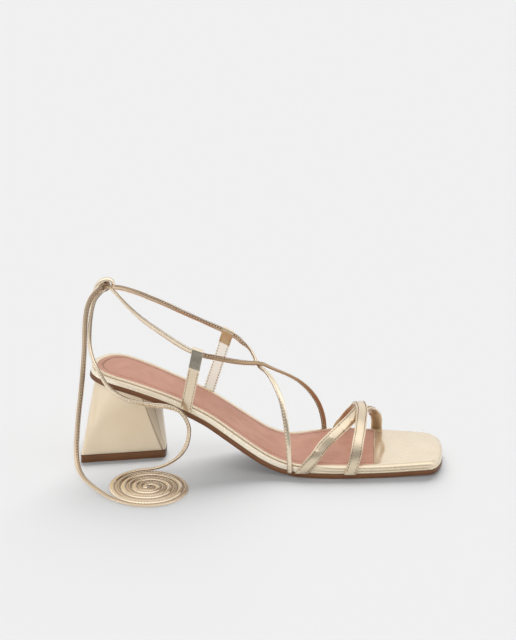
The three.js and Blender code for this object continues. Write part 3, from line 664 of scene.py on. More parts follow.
class Finish:
    """A material's node graph, with short ways to add nodes to it."""

    def __init__(self, name, colour, roughness, metallic=0.0, **fixed):
        self.material = bpy.data.materials.new(name)
        self.material.use_nodes = True
        self.nodes = self.material.node_tree.nodes
        self.links = self.material.node_tree.links
        self.shader = self.nodes["Principled BSDF"]
        self.shader.inputs["Base Color"].default_value = (*colour, 1)
        self.shader.inputs["Roughness"].default_value = roughness
        self.shader.inputs["Metallic"].default_value = metallic
        for socket, value in fixed.items():
            label = socket.replace("_", " ").title().replace("Ior", "IOR")
            self.shader.inputs[label].default_value = value
        self.height = None

    def add(self, kind, inputs=(), **settings):
        """One node, its settings, and its inputs as sockets to link or as values."""
        node = self.nodes.new(kind)
        for name, value in settings.items():
            setattr(node, name, value)
        for socket, value in dict(inputs).items():
            if isinstance(value, bpy.types.NodeSocket):
                self.links.new(value, node.inputs[socket])
            else:
                node.inputs[socket].default_value = value
        return node

    def sum_up(self, operation, first, second=0.0, third=0.0):
        """One Math node."""
        inputs = {0: first, 1: second, 2: third}
        return self.add("ShaderNodeMath", inputs, operation=operation).outputs[0]

    def place(self):
        """Object coordinates, in metres."""
        return self.add("ShaderNodeTexCoord").outputs["Object"]

    def seam_place(self):
        """How far along the band, in millimetres, and the share round its section."""
        uv = self.add("ShaderNodeUVMap", uv_map="along_and_across").outputs["UV"]
        parts = self.add("ShaderNodeSeparateXYZ", {0: uv}).outputs
        return parts[0], parts[1]

    def noise(self, scale, detail=2.0, distortion=0.0):
        """Noise over the piece; scale is in spots to a metre."""
        inputs = {"Vector": self.place(), "Scale": scale, "Detail": detail, "Distortion": distortion}
        return self.add("ShaderNodeTexNoise", inputs).outputs["Fac"]

    def mix_colour(self, share, first, second):
        """From the first colour to the second one by a share."""
        sides = [c if isinstance(c, bpy.types.NodeSocket) else (*c[:3], 1) for c in (first, second)]
        inputs = {0: share, 6: sides[0], 7: sides[1]}
        return self.add("ShaderNodeMix", inputs, data_type="RGBA").outputs[2]

    def colour(self, socket):
        """The surface's colour comes from a socket."""
        self.links.new(socket, self.shader.inputs["Base Color"])

    def vary_roughness(self, share, low, high):
        """Roughness from low to high by a share."""
        inputs = {"Value": share, "To Min": low, "To Max": high}
        roughness = self.add("ShaderNodeMapRange", inputs).outputs[0]
        self.links.new(roughness, self.shader.inputs["Roughness"])

    def raise_by(self, height, distance, strength=1.0):
        """Adds a bump on top of the bumps before it. distance is in metres."""
        inputs = {"Height": height, "Distance": distance, "Strength": strength}
        if self.height is not None:
            inputs["Normal"] = self.height
        self.height = self.add("ShaderNodeBump", inputs).outputs[0]
        self.links.new(self.height, self.shader.inputs["Normal"])


def gold_leather(
    name, colours, wrinkle=1.0, seam_shade=None, gloss=(0.19, 0.33), foil=None, creases=(), metal=1.0
):
    """Foil-covered leather: fine grain, soft creases, patches of a warmer gold, and a clear gloss.
    seam_shade, (shares round the section, half width, pitch, strength), paints shade along a seam's
    line, darkest in its needle holes, and creases, (share round the section, half width), paints
    shade along the creases that run along it."""
    finish = Finish(
        name, colours.gold, 0.24, metal, coat_weight=0.25, coat_roughness=0.1, specular_ior_level=0.5
    )
    patches = finish.noise(55, 3, 0.4)
    tint = finish.mix_colour(patches, foil or colours.gold, foil or colours.gold_deep)
    # Painted shade along each crease: the colour goes towards the raw edge's brown.
    for share, half in creases:
        off = finish.sum_up("ABSOLUTE", finish.sum_up("SUBTRACT", finish.seam_place()[1], share))
        near = finish.sum_up("MAXIMUM", finish.sum_up("MULTIPLY_ADD", off, -1 / half, 1.0), 0.0)
        tint = finish.mix_colour(finish.sum_up("MULTIPLY", near, 0.85), tint, colours.edge)
    # Painted shade along the seam's line, darkest in its needle holes.
    if seam_shade:
        along, turn = finish.seam_place()
        for share in seam_shade[0]:
            off = finish.sum_up("ABSOLUTE", finish.sum_up("SUBTRACT", turn, share))
            near = finish.sum_up("LESS_THAN", off, seam_shade[1])
            beat = finish.sum_up("FRACT", finish.sum_up("DIVIDE", along, seam_shade[2]))
            hole = finish.sum_up("GREATER_THAN", finish.sum_up("PINGPONG", beat, 0.5), 0.33)
            depth = finish.sum_up("MULTIPLY_ADD", hole, 0.2 * seam_shade[3], 0.68 * seam_shade[3])
            dark = finish.sum_up("MULTIPLY", near, depth)
            tint = finish.mix_colour(dark, tint, colours.edge)
    finish.colour(tint)
    finish.vary_roughness(finish.noise(110, 3), *gloss)
    finish.raise_by(finish.noise(75, 2, 0.8), 0.0005 * wrinkle, 0.5)
    finish.raise_by(finish.noise(1100, 2), 0.000005)
    return finish.material


def plain_leather(name, colour, dark, roughness, grain=900.0, depth=0.00005):
    """Uncoated leather: mottled between two colours, with an open grain."""
    finish = Finish(name, colour, roughness, 0.0, specular_ior_level=0.35)
    mottled = finish.noise(140, 4, 0.3)
    finish.colour(finish.mix_colour(mottled, colour, dark))
    finish.vary_roughness(finish.noise(400, 3), roughness - 0.08, roughness + 0.08)
    finish.raise_by(finish.noise(grain, 3), depth)
    return finish.material


# The insole's pricked row: how far inside the edge it runs, and the distance from prick to prick.
PRICKED_INSIDE = 3.6
PRICK_PITCH = 2.1


def insole_leather(name, colours):
    """Lining leather with a pricked row inside its edge: the UV's second value is the distance from
    the edge in millimetres, and the first runs along it."""
    finish = Finish(name, colours.insole, 0.55, 0.0, specular_ior_level=0.35)
    mottled = finish.noise(70, 5, 0.6)
    base = finish.mix_colour(mottled, colours.insole, colours.insole_warm)
    along, inside = finish.seam_place()
    off = finish.sum_up("ABSOLUTE", finish.sum_up("SUBTRACT", inside, PRICKED_INSIDE))
    line = finish.sum_up("SUBTRACT", 1.0, finish.sum_up("MULTIPLY", off, 1.35))
    line = finish.sum_up("MAXIMUM", line, 0.0)
    beat = finish.sum_up("FRACT", finish.sum_up("DIVIDE", along, PRICK_PITCH))
    beat = finish.sum_up("PINGPONG", beat, 0.5)
    # Painted shade in the pricked holes: each prick is darkened nearly to black.
    prick = finish.sum_up("MULTIPLY", line, finish.sum_up("GREATER_THAN", beat, 0.24))
    dark = tuple(0.2 * c for c in colours.insole_warm)
    finish.colour(finish.mix_colour(finish.sum_up("MULTIPLY", prick, 0.9), base, dark))
    finish.vary_roughness(finish.noise(300, 3), 0.48, 0.64)
    finish.raise_by(finish.sum_up("MULTIPLY", line, -1.0), 0.0002)
    finish.raise_by(finish.sum_up("MULTIPLY", prick, -1.0), 0.0003)
    finish.raise_by(finish.noise(45, 3, 0.6), 0.0006)
    finish.raise_by(finish.noise(1100, 3), 0.00004)
    return finish.material


def widest_beside(side, x, width):
    """The largest half width of the sole that a band hanging over its side at x passes, as the
    band's foot moves forwards where the sole is steep."""
    reach = width + SOLE_THICKNESS * abs(top_slope(x))
    places = x - width / 2 + np.linspace(0, 1, 5) * reach
    return half_width(side, (places + BACK_OVERHANG) / SOLE_LENGTH).max()


def tab_standoff(tab):
    """How far from the middle a tab's inner face stands: clear of the widest of the sole's side."""
    return widest_beside(tab["side"], along_to_x(tab["along"]), TAB_WIDTH) + FIT


def side_y(side, x, width, standoff):
    """Where a band lies that hangs over the sole's side at x, clear of it by the standoff."""
    return side * (widest_beside(side, x, width) + standoff)


def rest_on(over, under, over_face, under_face, gap, spread, among=slice(None)):
    """Lays one band on another where they come nearest. Both move along their faces by half of what
    is missing from the gap between their middles, times exp(-(distance / spread)^2)."""
    places = np.arange(len(over))[among]
    apart = np.linalg.norm(over[places][:, None] - under[None], axis=2)
    i, j = np.unravel_index(apart.argmin(), apart.shape)
    i = places[i]
    missing = (gap - np.sum((over[i] - under[j]) * over_face[i])) / 2
    for path, face, at, sign in ((over, over_face, i, 1), (under, under_face, j, -1)):
        near = np.exp(-(((lengths_along(path) - lengths_along(path)[at]) / spread) ** 2))
        path += face * (sign * missing * near)[:, None]


def tab_lean(tab, up):
    """Lean towards the ankle: none beside the platform, then as the 1.4th power of the height."""
    start = PLATFORM_THICKNESS * 1.3
    return tab["lean_in"] * (np.maximum(up - start, 0) / (tab["height"] - start)) ** 1.4


def tab_point(tab, inward, up, across):
    """A tab's point from its side view: inward from the platform's side, up from the foot."""
    x = along_to_x(tab["along"])
    share = up / tab["height"]
    slope = lerp(top_slope(x), tab["top_tilt"], share)
    base = layer_height(x, PLATFORM_THICKNESS) + FIT
    return np.stack(np.broadcast_arrays(
        x + across + tab["lean_forward"] * share,
        tab["side"] * (tab_standoff(tab) - inward + across * tab["top_turn"] * share),
        base + up + across * slope,
    ), -1)


LOOP_HEIGHT = 3.4 + 2 * LOOP_PLAY


def loop_centre(tab, across=0.0):
    """The middle of a tab's loop, or a point beside it: half the loop below the tab's top wall."""
    up = tab["height"] - TAB_WALL - LOOP_HEIGHT / 2
    return tab_point(tab, tab_lean(tab, up), up, across)


def strap_path(rows, feet, standoff):
    """A toe strap's middle line: over the toes by its table, and down the platform's sides."""
    x = lerp(along_to_x(feet[0]), along_to_x(feet[1]), rows[:, 0])
    sides = np.where(rows[:, 1] < 0, OUTER, INNER)
    widest = np.array([side_y(side, at, 7.0, standoff) for side, at in zip(sides, x)])
    z = SOLE_THICKNESS + rows[:, 2] * STRAP_ARCH
    return spaced(smooth_line(np.stack((x, np.abs(rows[:, 1]) * widest, z), 1)), 0.6)


def strap_face(path):
    """A strap's face turns from the platform's side to away from the foot over 8 mm of height."""
    high = smoothstep(0, 8, path[:, 2:] - SOLE_THICKNESS)
    sideways = np.stack((0 * path[:, 0], np.sign(path[:, 1]), 0 * path[:, 0]), 1)
    return unit(lerp(sideways, away_from_foot(path), high))


def strand_path(strand, ankle, side, anchor_along, tab):
    """A lace strand's middle line: from the sole's side over the instep, straight through the
    tab's loop on the other side, and round the ankle to the knot."""
    x = along_to_x(anchor_along)
    anchor = np.array([x, side_y(side, x, 3.4, FIT + 0.9), BAND_FOOT])
    loop = loop_centre(tab)
    over = lerp(anchor, loop, strand)
    mouth = TAB_WIDTH / 2 + 1.8
    round_ankle = np.stack((
        lerp(loop[0], KNOT[0], ankle[:, 0]),
        loop[1] * ankle[:, 1],
        lerp(loop[2], KNOT[2], ankle[:, 2]),
    ), 1)
    through = np.stack((loop_centre(tab, mouth), loop, loop_centre(tab, -mouth)))
    return spaced(smooth_line(np.concatenate((over, through, round_ankle))), 0.7)


def strand_face(path, loop):
    """The strand's face turns away from the foot, and stands upright at a loop."""
    near = smoothstep(6.8, 20, np.linalg.norm(path - loop, axis=1))[:, None]
    return unit(lerp(np.array([0, np.sign(loop[1]), 0.0]), away_from_foot(path), near))


def coil_turns(start_turn, start_share, turns, drop):
    """One lace end's turns: an oval spiral, centre + half * share * (cos, sin), whose share shrinks
    by COIL_PITCH each turn. It comes down by drop over its first fifth of a turn."""
    turn = np.linspace(0, turns, int(turns * POINTS_PER_TURN) + 1)
    share = start_share - COIL_PITCH * turn
    angle = start_turn + 2 * math.pi * turn
    plan = COIL_CENTRE + COIL_HALF * share[:, None] * np.stack((np.cos(angle), np.sin(angle)), 1)
    return np.column_stack((plan, COIL_LAY_HEIGHT + drop * (1 - smoothstep(0, 0.2, turn))))


def free_end(route, start_degrees, start_share, turns, drop):
    """A free end's whole middle line: a smooth curve along its route from the knot to the floor,
    then its turns, with points 0.8 mm apart."""
    turns_line = coil_turns(math.radians(start_degrees), start_share, turns, drop)
    hanging = smooth_line(np.concatenate((route, turns_line[:1])), 16)
    return spaced(np.concatenate((hanging[:-1], turns_line)), 0.8)


def free_face(path, hanging_face, lean):
    """The face looks along hanging_face in the air, and up and outwards in the coil."""
    outward = np.zeros_like(path)
    outward[:, :2] = unit((path[:, :2] - COIL_CENTRE) / COIL_HALF**2)
    laid = unit(outward * math.cos(lean) + np.array([0, 0, math.sin(lean)]))
    high = smoothstep(3, 26, path[:, 2:])
    return unit(lerp(laid, np.array(hanging_face), high))


# The lace's material slots, and where its seam runs as shares round its section.
LACE_FOIL, LACE_RAW_EDGE, LACE_THREAD, LACE_BACK, LACE_DARKER = range(5)
SEAM_SHARES = (0.17, 0.83)


def lace(shape, path, face, sizes, seam_side=1, back_side=-1, dull=None):
    """A folded lace: a flat section with its raw edge and its seam near one side, a duller back,
    and a row of stitches on each face. dull marks the points where both its faces are duller."""
    width, thickness = sizes.lace_width / MM, sizes.lace_thickness / MM
    outline = band_section(width, thickness, 24, 2.5, 0.12)
    outline[:, 0] *= seam_side
    raw = np.abs(np.linspace(0, 1, len(outline))[:-1] + 0.5 / (len(outline) - 1) - 0.5)
    slots = np.where(raw > 0.5 - 0.9 / (len(outline) - 1), LACE_RAW_EDGE, LACE_FOIL)
    middle = (outline[:-1] + outline[1:]) / 2
    on_back = (middle[:, 1] * back_side > thickness * 0.3) & (np.abs(middle[:, 0]) < width * 0.42)
    slots[on_back] = LACE_BACK
    slots = np.tile(slots, (len(path) - 1, 1))
    if dull is not None:
        slots[dull[:-1, None] & (slots != LACE_RAW_EDGE)] = LACE_DARKER
    sweep(shape, path, face, outline, slots)
    seam = seam_side * width * 0.2
    for out in (1, -1):
        height = out * (thickness / 2 + (0.08 if out > 0 else -0.03))
        stitches(
            shape, path, face, seam, height, LACE_THREAD,
            sizes.stitch_pitch / MM, sizes.stitch_pitch / MM * 0.55, 0.38,
        )


class SandalSizes(bpy.types.PropertyGroup):
    """Sizes that a user would change."""

    lace_width: FloatProperty(
        name="Lace width", description="Width of the folded lace", default=0.0034, unit="LENGTH"
    )
    lace_thickness: FloatProperty(
        name="Lace thickness", description="Thickness of the folded lace", default=0.0017, unit="LENGTH"
    )
    strap_width: FloatProperty(
        name="Strap width", description="Width of a toe strap", default=0.0074, unit="LENGTH"
    )
    strap_thickness: FloatProperty(
        name="Strap thickness", description="Thickness of a toe strap", default=0.0017, unit="LENGTH"
    )
    strap_twist: FloatProperty(
        name="Strap twist", description="How far the front strap turns over on the inner side, in degrees",
        default=14.0,
    )
    stitch_pitch: FloatProperty(
        name="Stitch pitch", description="Distance from stitch to stitch", default=0.002, unit="LENGTH"
    )
    back_light: FloatProperty(
        name="Back light", description="Strength of the light behind the shoe", default=17.0
    )
    floor_light: FloatProperty(
        name="Floor light", description="Strength of the light that fills the shade", default=1.9
    )
    front_light: FloatProperty(
        name="Front light", description="Strength of the light in front of the shoe", default=2.2
    )
    camera_lens: FloatProperty(
        name="Lens", description="Focal length of the camera", default=206.2, unit="CAMERA"
    )
    seat_height: FloatProperty(
        name="Seat height", description="Height of the platform's top at the back, from the frame",
        default=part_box("platform")[1].z, unit="LENGTH",
    )


def colour_property(name, description, default):
    """One colour in linear light."""
    return FloatVectorProperty(
        name=name, description=description, default=default, subtype="COLOR", min=0, max=1
    )


class SandalColours(bpy.types.PropertyGroup):
    """Colours of the leathers, the thread and the floor, in linear light."""

    gold: colour_property("Gold", "Foil of the gold leather", (0.86, 0.74, 0.565))
    gold_deep: colour_property("Deep gold", "Warmer patches of the gold leather", (0.8, 0.66, 0.47))
    # The raw edge's brown also paints shade: along the lace's seams and along the heel's creases.
    edge: colour_property("Raw edge", "Raw edges of the lace and holes of its seam", (0.16, 0.075, 0.035))
    back: colour_property("Back", "Duller inner side of the straps and the lace", (0.7, 0.55, 0.39))
    lining: colour_property("Lining", "Shaded leather at a seam, and worn thread", (0.3, 0.16, 0.09))
    insole: colour_property("Insole", "Lining leather under the foot", (0.68, 0.365, 0.265))
    insole_warm: colour_property("Warm insole", "Warmer patches of the insole", (0.44, 0.2, 0.13))
    sole: colour_property("Sole", "Brown leather of the outsole", (0.175, 0.072, 0.03))
    lift: colour_property("Lift", "Brown top piece of the heel", (0.15, 0.063, 0.026))
    thread: colour_property("Thread", "Thread of the stitches", (0.68, 0.56, 0.4))
    floor: colour_property("Floor", "Studio floor", (0.222, 0.222, 0.222))


# The camera's place in metres, the way that it looks, and its turn about that in degrees.
CAMERA_PLACE = (0.1573, -2.2498, 0.8208)
CAMERA_LOOK = (-0.030178, 0.950986, -0.307758)
CAMERA_ROLL = 0.7257

# The studio's light: degrees from the horizon behind the shoe, over the top, and its share of
# STUDIO_LIGHT there.
STUDIO_LIGHT = 1.3
STUDIO = (
    (0.0, 0.56), (13.0, 0.68), (25.0, 0.84), (42.0, 0.6), (62.0, 0.62), (84.0, 1.0), (112.0, 1.0),
    (144.0, 0.25), (164.0, 0.23), (175.0, 0.6),
)

# Each lamp: the way that it shines, and its width in degrees. The back light and the floor light
# reach the floor alone, and SHADING names the pieces that shade it from the back light.
LAMPS = {
    "floor_light": ((0.0, 0.0, -1.0), 20),
    "back_light": ((0.0, -0.9, -0.44), 46),
    "front_light": ((0.3, 0.9, -0.22), 60),
}
SHADING = ("outsole_brown", "platform_gold", "heel_top_piece")


class SANDAL_OT_stage(bpy.types.Operator):
    """Sets the camera, the floor and the soft studio light"""

    bl_idname = "sandal.stage"
    bl_label = "Stage"

    def execute(self, context):
        scene = context.scene
        camera_data = bpy.data.cameras.new("camera")
        camera_data.sensor_width = 36
        camera_data.lens = scene.sandal_sizes.camera_lens
        camera_data.clip_start, camera_data.clip_end = 0.1, 20
        camera = bpy.data.objects.new("camera", camera_data)
        scene.collection.objects.link(camera)
        camera.location = CAMERA_PLACE
        camera.rotation_mode = "QUATERNION"
        level = Vector(CAMERA_LOOK).to_track_quat("-Z", "Y")
        camera.rotation_quaternion = level @ Quaternion((0, 0, 1), math.radians(CAMERA_ROLL))
        scene.camera = camera
        scene.view_settings.view_transform = "Standard"

        half = 4.0
        mesh = bpy.data.meshes.new("floor")
        corners = [(-half, -half, 0), (half, -half, 0), (half, half, 0), (-half, half, 0)]
        mesh.from_pydata(corners, [], [(0, 1, 2, 3)])
        finish = Finish("studio_floor", scene.sandal_colours.floor, 0.9, 0.0, specular_ior_level=0.0)
        mesh.materials.append(finish.material)
        floor = bpy.data.objects.new("floor", mesh)
        scene.collection.objects.link(floor)

        self.sky(scene)
        sizes = scene.sandal_sizes
        fill = self.sun("floor_light", sizes.floor_light)
        fill.light_linking.receiver_collection = self.group("floor_lit", [floor])
        fill.light_linking.blocker_collection = self.group("floor_unshaded", [floor])
        back = self.sun("back_light", sizes.back_light)
        back.light_linking.receiver_collection = self.group("back_lit", [floor])
        soles = [bpy.data.objects[name] for name in SHADING if name in bpy.data.objects]
        back.light_linking.blocker_collection = self.group("back_shading", soles)
        front = self.sun("front_light", sizes.front_light)
        unlit = self.group("front_unlit", [floor])
        unlit.collection_objects[0].light_linking.link_state = "EXCLUDE"
        front.light_linking.receiver_collection = unlit
        return {"FINISHED"}

    def sun(self, name, strength):
        """A broad light from afar that no mirror shows, by its row of LAMPS."""
        way, width = LAMPS[name]
        light = bpy.data.lights.new(name, "SUN")
        light.angle = math.radians(width)
        light.energy = strength
        lamp = bpy.data.objects.new(name, light)
        bpy.context.scene.collection.objects.link(lamp)
        lamp.rotation_mode = "QUATERNION"
        lamp.rotation_quaternion = Vector(way).to_track_quat("-Z", "Y")
        lamp.visible_glossy = False
        return lamp

    def group(self, name, objects):
        """A collection of the objects that a light reaches, or that shade it."""
        collection = bpy.data.collections.new(name)
        for one in objects:
            collection.objects.link(one)
        return collection

    def sky(self, scene):
        """The studio around the shoe. Its light goes by the angle atan2(z, y) over the shoe, from the
        horizon behind it, over the top, to the horizon in front, through the rows of STUDIO."""
        world = bpy.data.worlds.new("studio")
        scene.world = world
        world.use_nodes = True
        nodes, links = world.node_tree.nodes, world.node_tree.links
        parts = nodes.new("ShaderNodeSeparateXYZ")
        links.new(nodes.new("ShaderNodeTexCoord").outputs["Generated"], parts.inputs[0])
        angle = nodes.new("ShaderNodeMath")
        angle.operation = "ARCTAN2"
        links.new(parts.outputs[2], angle.inputs[0])
        links.new(parts.outputs[1], angle.inputs[1])
        share = nodes.new("ShaderNodeMath")
        share.operation = "DIVIDE"
        links.new(angle.outputs[0], share.inputs[0])
        share.inputs[1].default_value = math.pi
        ramp = nodes.new("ShaderNodeValToRGB")
        links.new(share.outputs[0], ramp.inputs[0])
        elements = ramp.color_ramp.elements
        while len(elements) < len(STUDIO):
            elements.new(0.5)
        for element, (degrees, light) in zip(elements, STUDIO):
            element.position = degrees / 180
            element.color = (light, light, light, 1)
        ramp.color_ramp.interpolation = "EASE"
        links.new(ramp.outputs[0], nodes["Background"].inputs["Color"])
        nodes["Background"].inputs["Strength"].default_value = STUDIO_LIGHT


def lace_materials(colours):
    """The lace's leathers in the order of LACE_FOIL to LACE_DARKER, with seams SEAM_SHARES round it."""
    pitch = 2.0
    # Each seam tuple paints shade along the lace's seam line and needle holes, heaviest on its back.
    seam, back_seam_shade = (SEAM_SHARES, 0.035, pitch, 0.4), (SEAM_SHARES, 0.075, pitch, 1.15)
    # The darker tan that covers both faces of the lace over the instep, with a heavier seam shade.
    darker_seam, darker = (SEAM_SHARES, 0.075, pitch, 1.25), (0.5, 0.35, 0.215)
    return [
        gold_leather("lace_foil", colours, 0.4, seam, foil=(0.95, 0.82, 0.64)),
        plain_leather("lace_raw_edge", colours.edge, tuple(0.6 * c for c in colours.edge), 0.6),
        plain_leather("lace_thread", colours.thread, colours.gold_deep, 0.5),
        gold_leather("lace_back", colours, 0.4, back_seam_shade, (0.34, 0.44), colours.back),
        gold_leather("lace_darker", colours, 0.4, darker_seam, (0.36, 0.46), darker),
    ]


# Each free end: its route; where its turns start round the coil in degrees, their share of its
# half, their number, and how far they come down; the way that its face looks as it hangs; and on
# which of its faces the lace's duller back is.
FREE_ENDS = {
    "lace_end_outer": (OUTER_END_ROUTE, (238.0, 0.985, 3.42, 0.0), (-0.25, -1.0, 0.1), 1),
    "lace_end_inner": (INNER_END_ROUTE, (95.0, 0.96, 3.3, 0.4), (-1.0, -0.8, 0.0), -1),
}


class SANDAL_OT_free_ends(bpy.types.Operator):
    """Makes the lace's two free ends, from the knot to the coil that they are wound into"""

    bl_idname = "sandal.free_ends"
    bl_label = "Free ends and coil"

    def execute(self, context):
        sizes, colours = context.scene.sandal_sizes, context.scene.sandal_colours
        materials = lace_materials(colours)
        knot = tied_knot(sizes, materials)
        for name, (route, start, hanging_face, back_side) in FREE_ENDS.items():
            path = free_end(route, *start)
            face = free_face(path, hanging_face, math.radians(COIL_LEAN))
            shape = Shape()
            lace(shape, path, face, sizes, 1, back_side)
            piece = shape.piece(name + "_laid", materials)
            nodes = (name, "lace_coil") if name == "lace_end_outer" else (name,)
            place(piece, "lace_leather", *nodes)
        return {"FINISHED"}


# The knot: the loop of lace that hoods it, point by point, and the loops drawn tight inside: centre
# from the knot's middle, half length and half height, lean out of its plane, turn about the
# upright, width, and material.
KNOT_HOOD = np.array([
    (-19.0, -2.6, 109.2), (-19.0, -3.0, 111.8), (-17.6, -3.2, 115.2), (-14.9, -3.3, 117.9),
    (-11.3, -3.2, 119.0), (-8.4, -2.6, 117.9), (-7.5, -1.6, 115.2), (-8.2, 0.0, 113.0),
    (-10.6, 1.4, 111.8), (-13.6, 1.6, 111.0),
])
# Four of the inner loops take the raw edge's dark brown: partly their own raw edges, partly painted shade
# inside the knot.
KNOT_LOOPS = (
    ((-1.4, 1.0, -0.8), (3.2, 3.0), 1.6, 20.0, 2.6, LACE_RAW_EDGE),
    ((-1.0, -0.4, -0.6), (3.1, 3.0), 1.2, -38.0, 2.4, LACE_BACK),
    ((-2.2, 0.4, -1.6), (2.6, 2.0), 1.4, 58.0, 2.2, LACE_RAW_EDGE),
    ((-1.2, 1.4, -0.2), (1.4, 1.5), 0.6, 8.0, 3.2, LACE_RAW_EDGE),
    ((-1.8, 0.4, -2.0), (1.3, 1.2), 0.5, -30.0, 3.0, LACE_RAW_EDGE),
)


def tied_knot(sizes, materials):
    """The knot: a hood of lace over loops drawn tight through each other. Each of those is an
    ellipse, its point at the angle t leaning out of its plane by lean * sin(t + 0.5)."""
    shape = Shape()
    hood = spaced(smooth_line(KNOT_HOOD, 10), 0.4)
    out = unit(hood - (KNOT + np.array([-1.2, 2.0, -1.0])))
    sweep(shape, hood, out, band_section(3.0, 1.4, 20, 2.6, 0.1), LACE_FOIL)
    turn = np.linspace(0, 2 * math.pi, 90)
    for centre, (wide, high), lean, degrees, width, slot in KNOT_LOOPS:
        flat = wide * np.cos(turn), lean * np.sin(turn + 0.5), high * np.sin(turn)
        cos, sin = math.cos(math.radians(degrees)), math.sin(math.radians(degrees))
        middle = KNOT + np.array(centre)
        along, off = flat[0] * cos - flat[1] * sin, flat[0] * sin + flat[1] * cos
        line = middle + np.stack((along, off, flat[2]), 1)
        sweep(shape, line, unit(line - middle), band_section(width, 1.3, 20, 2.6, 0.1), slot)
    piece = shape.piece("lace_knot_tied", materials)
    return place(piece, "lace_leather", "lace_knot")


class SANDAL_OT_outsole(bpy.types.Operator):
    """Makes the brown outsole"""

    bl_idname = "sandal.outsole"
    bl_label = "Outsole"

    def execute(self, context):
        colours = context.scene.sandal_colours
        top = PLATFORM_THICKNESS + FIT / 2
        profile = (
            (1.2, top), (0.25, top), (0.0, top + 0.25), (-0.05, top + 1.2),
            (0.0, SOLE_THICKNESS - 0.7), (0.25, SOLE_THICKNESS - 0.2), (0.9, SOLE_THICKNESS),
        )
        loops = np.stack([sole_loop(inset, depth) for inset, depth in profile])
        shape = Shape()
        shape.loops(loops)
        shape.across(loops[0])
        shape.across(loops[-1], 6)
        edge = plain_leather(
            "outsole_leather", colours.sole, tuple(0.6 * c for c in colours.sole), 0.42, 500.0
        )
        place(shape.piece("outsole_brown", [edge], 50), "sole_leather", "outsole")
        return {"FINISHED"}


# The platform's side in section, from its bottom up to the inside of its rim: inset and depth behind
# the ball, where a narrow bead runs along the top, and at the toe, where the edge is one soft roll.
PLATFORM_PROFILE = np.array([
    (1.4, 5.3, 1.4, 5.3),
    (0.4, 5.3, 0.4, 5.3),
    (0.34, 5.12, 0.12, 5.16),
    (0.28, 4.8, 0.0, 4.9),
    (0.22, 4.3, 0.0, 4.6),
    (0.17, 3.8, 0.12, 4.36),
    (0.12, 3.2, 0.3, 4.18),
    (0.08, 2.7, 0.22, 3.95),
    (0.05, 2.2, 0.08, 3.5),
    (0.08, 1.8, 0.04, 3.0),
    (0.42, 1.58, 0.08, 2.5),
    (0.5, 1.42, 0.2, 2.0),
    (0.3, 1.22, 0.4, 1.55),
    (0.1, 0.98, 0.68, 1.14),
    (0.02, 0.68, 1.0, 0.8),
    (0.1, 0.38, 1.4, 0.5),
    (0.34, 0.14, 1.85, 0.28),
    (0.72, 0.0, 2.3, 0.12),
    (1.2, -0.04, 2.7, 0.04),
    (1.8, 0.04, 2.95, 0.01),
    (2.5, 0.18, 3.1, 0.0),
    (RIM_WIDTH, 0.34, RIM_WIDTH, 0.0),
])

# Soft creases of the gold leather in front of the insole, in millimetres: middle along and across,
# half length, half width, turn in degrees, height.
TOE_CREASES = (
    (167.5, -6.0, 17.0, 2.4, 84.0, -0.42),
    (172.0, 8.0, 15.0, 2.3, 97.0, -0.36),
    (170.0, 2.0, 13.0, 1.9, 92.0, 0.32),
    (176.0, -12.0, 14.0, 3.0, 76.0, -0.3),
    (181.0, 6.0, 16.0, 3.6, 96.0, 0.26),
    (187.0, -4.0, 15.0, 4.2, 84.0, -0.26),
    (194.0, 8.0, 12.0, 4.5, 98.0, 0.2),
    (197.0, -12.0, 13.0, 4.5, 80.0, -0.18),
)


def toe_relief(x, y):
    """Sum of the toe's creases: each is height * exp(-(p / length)^2 - (q / width)^2) in its own
    turned axes, faded out at the insole."""
    total = np.zeros_like(x)
    for middle, across, length, width, degrees, height in TOE_CREASES:
        turn = math.radians(degrees)
        p = (x - middle) * math.cos(turn) + (y - across) * math.sin(turn)
        q = (y - across) * math.cos(turn) - (x - middle) * math.sin(turn)
        total += height * np.exp(-((p / length) ** 2) - (q / width) ** 2)
    return total * smoothstep(163.5, 166.5, x)


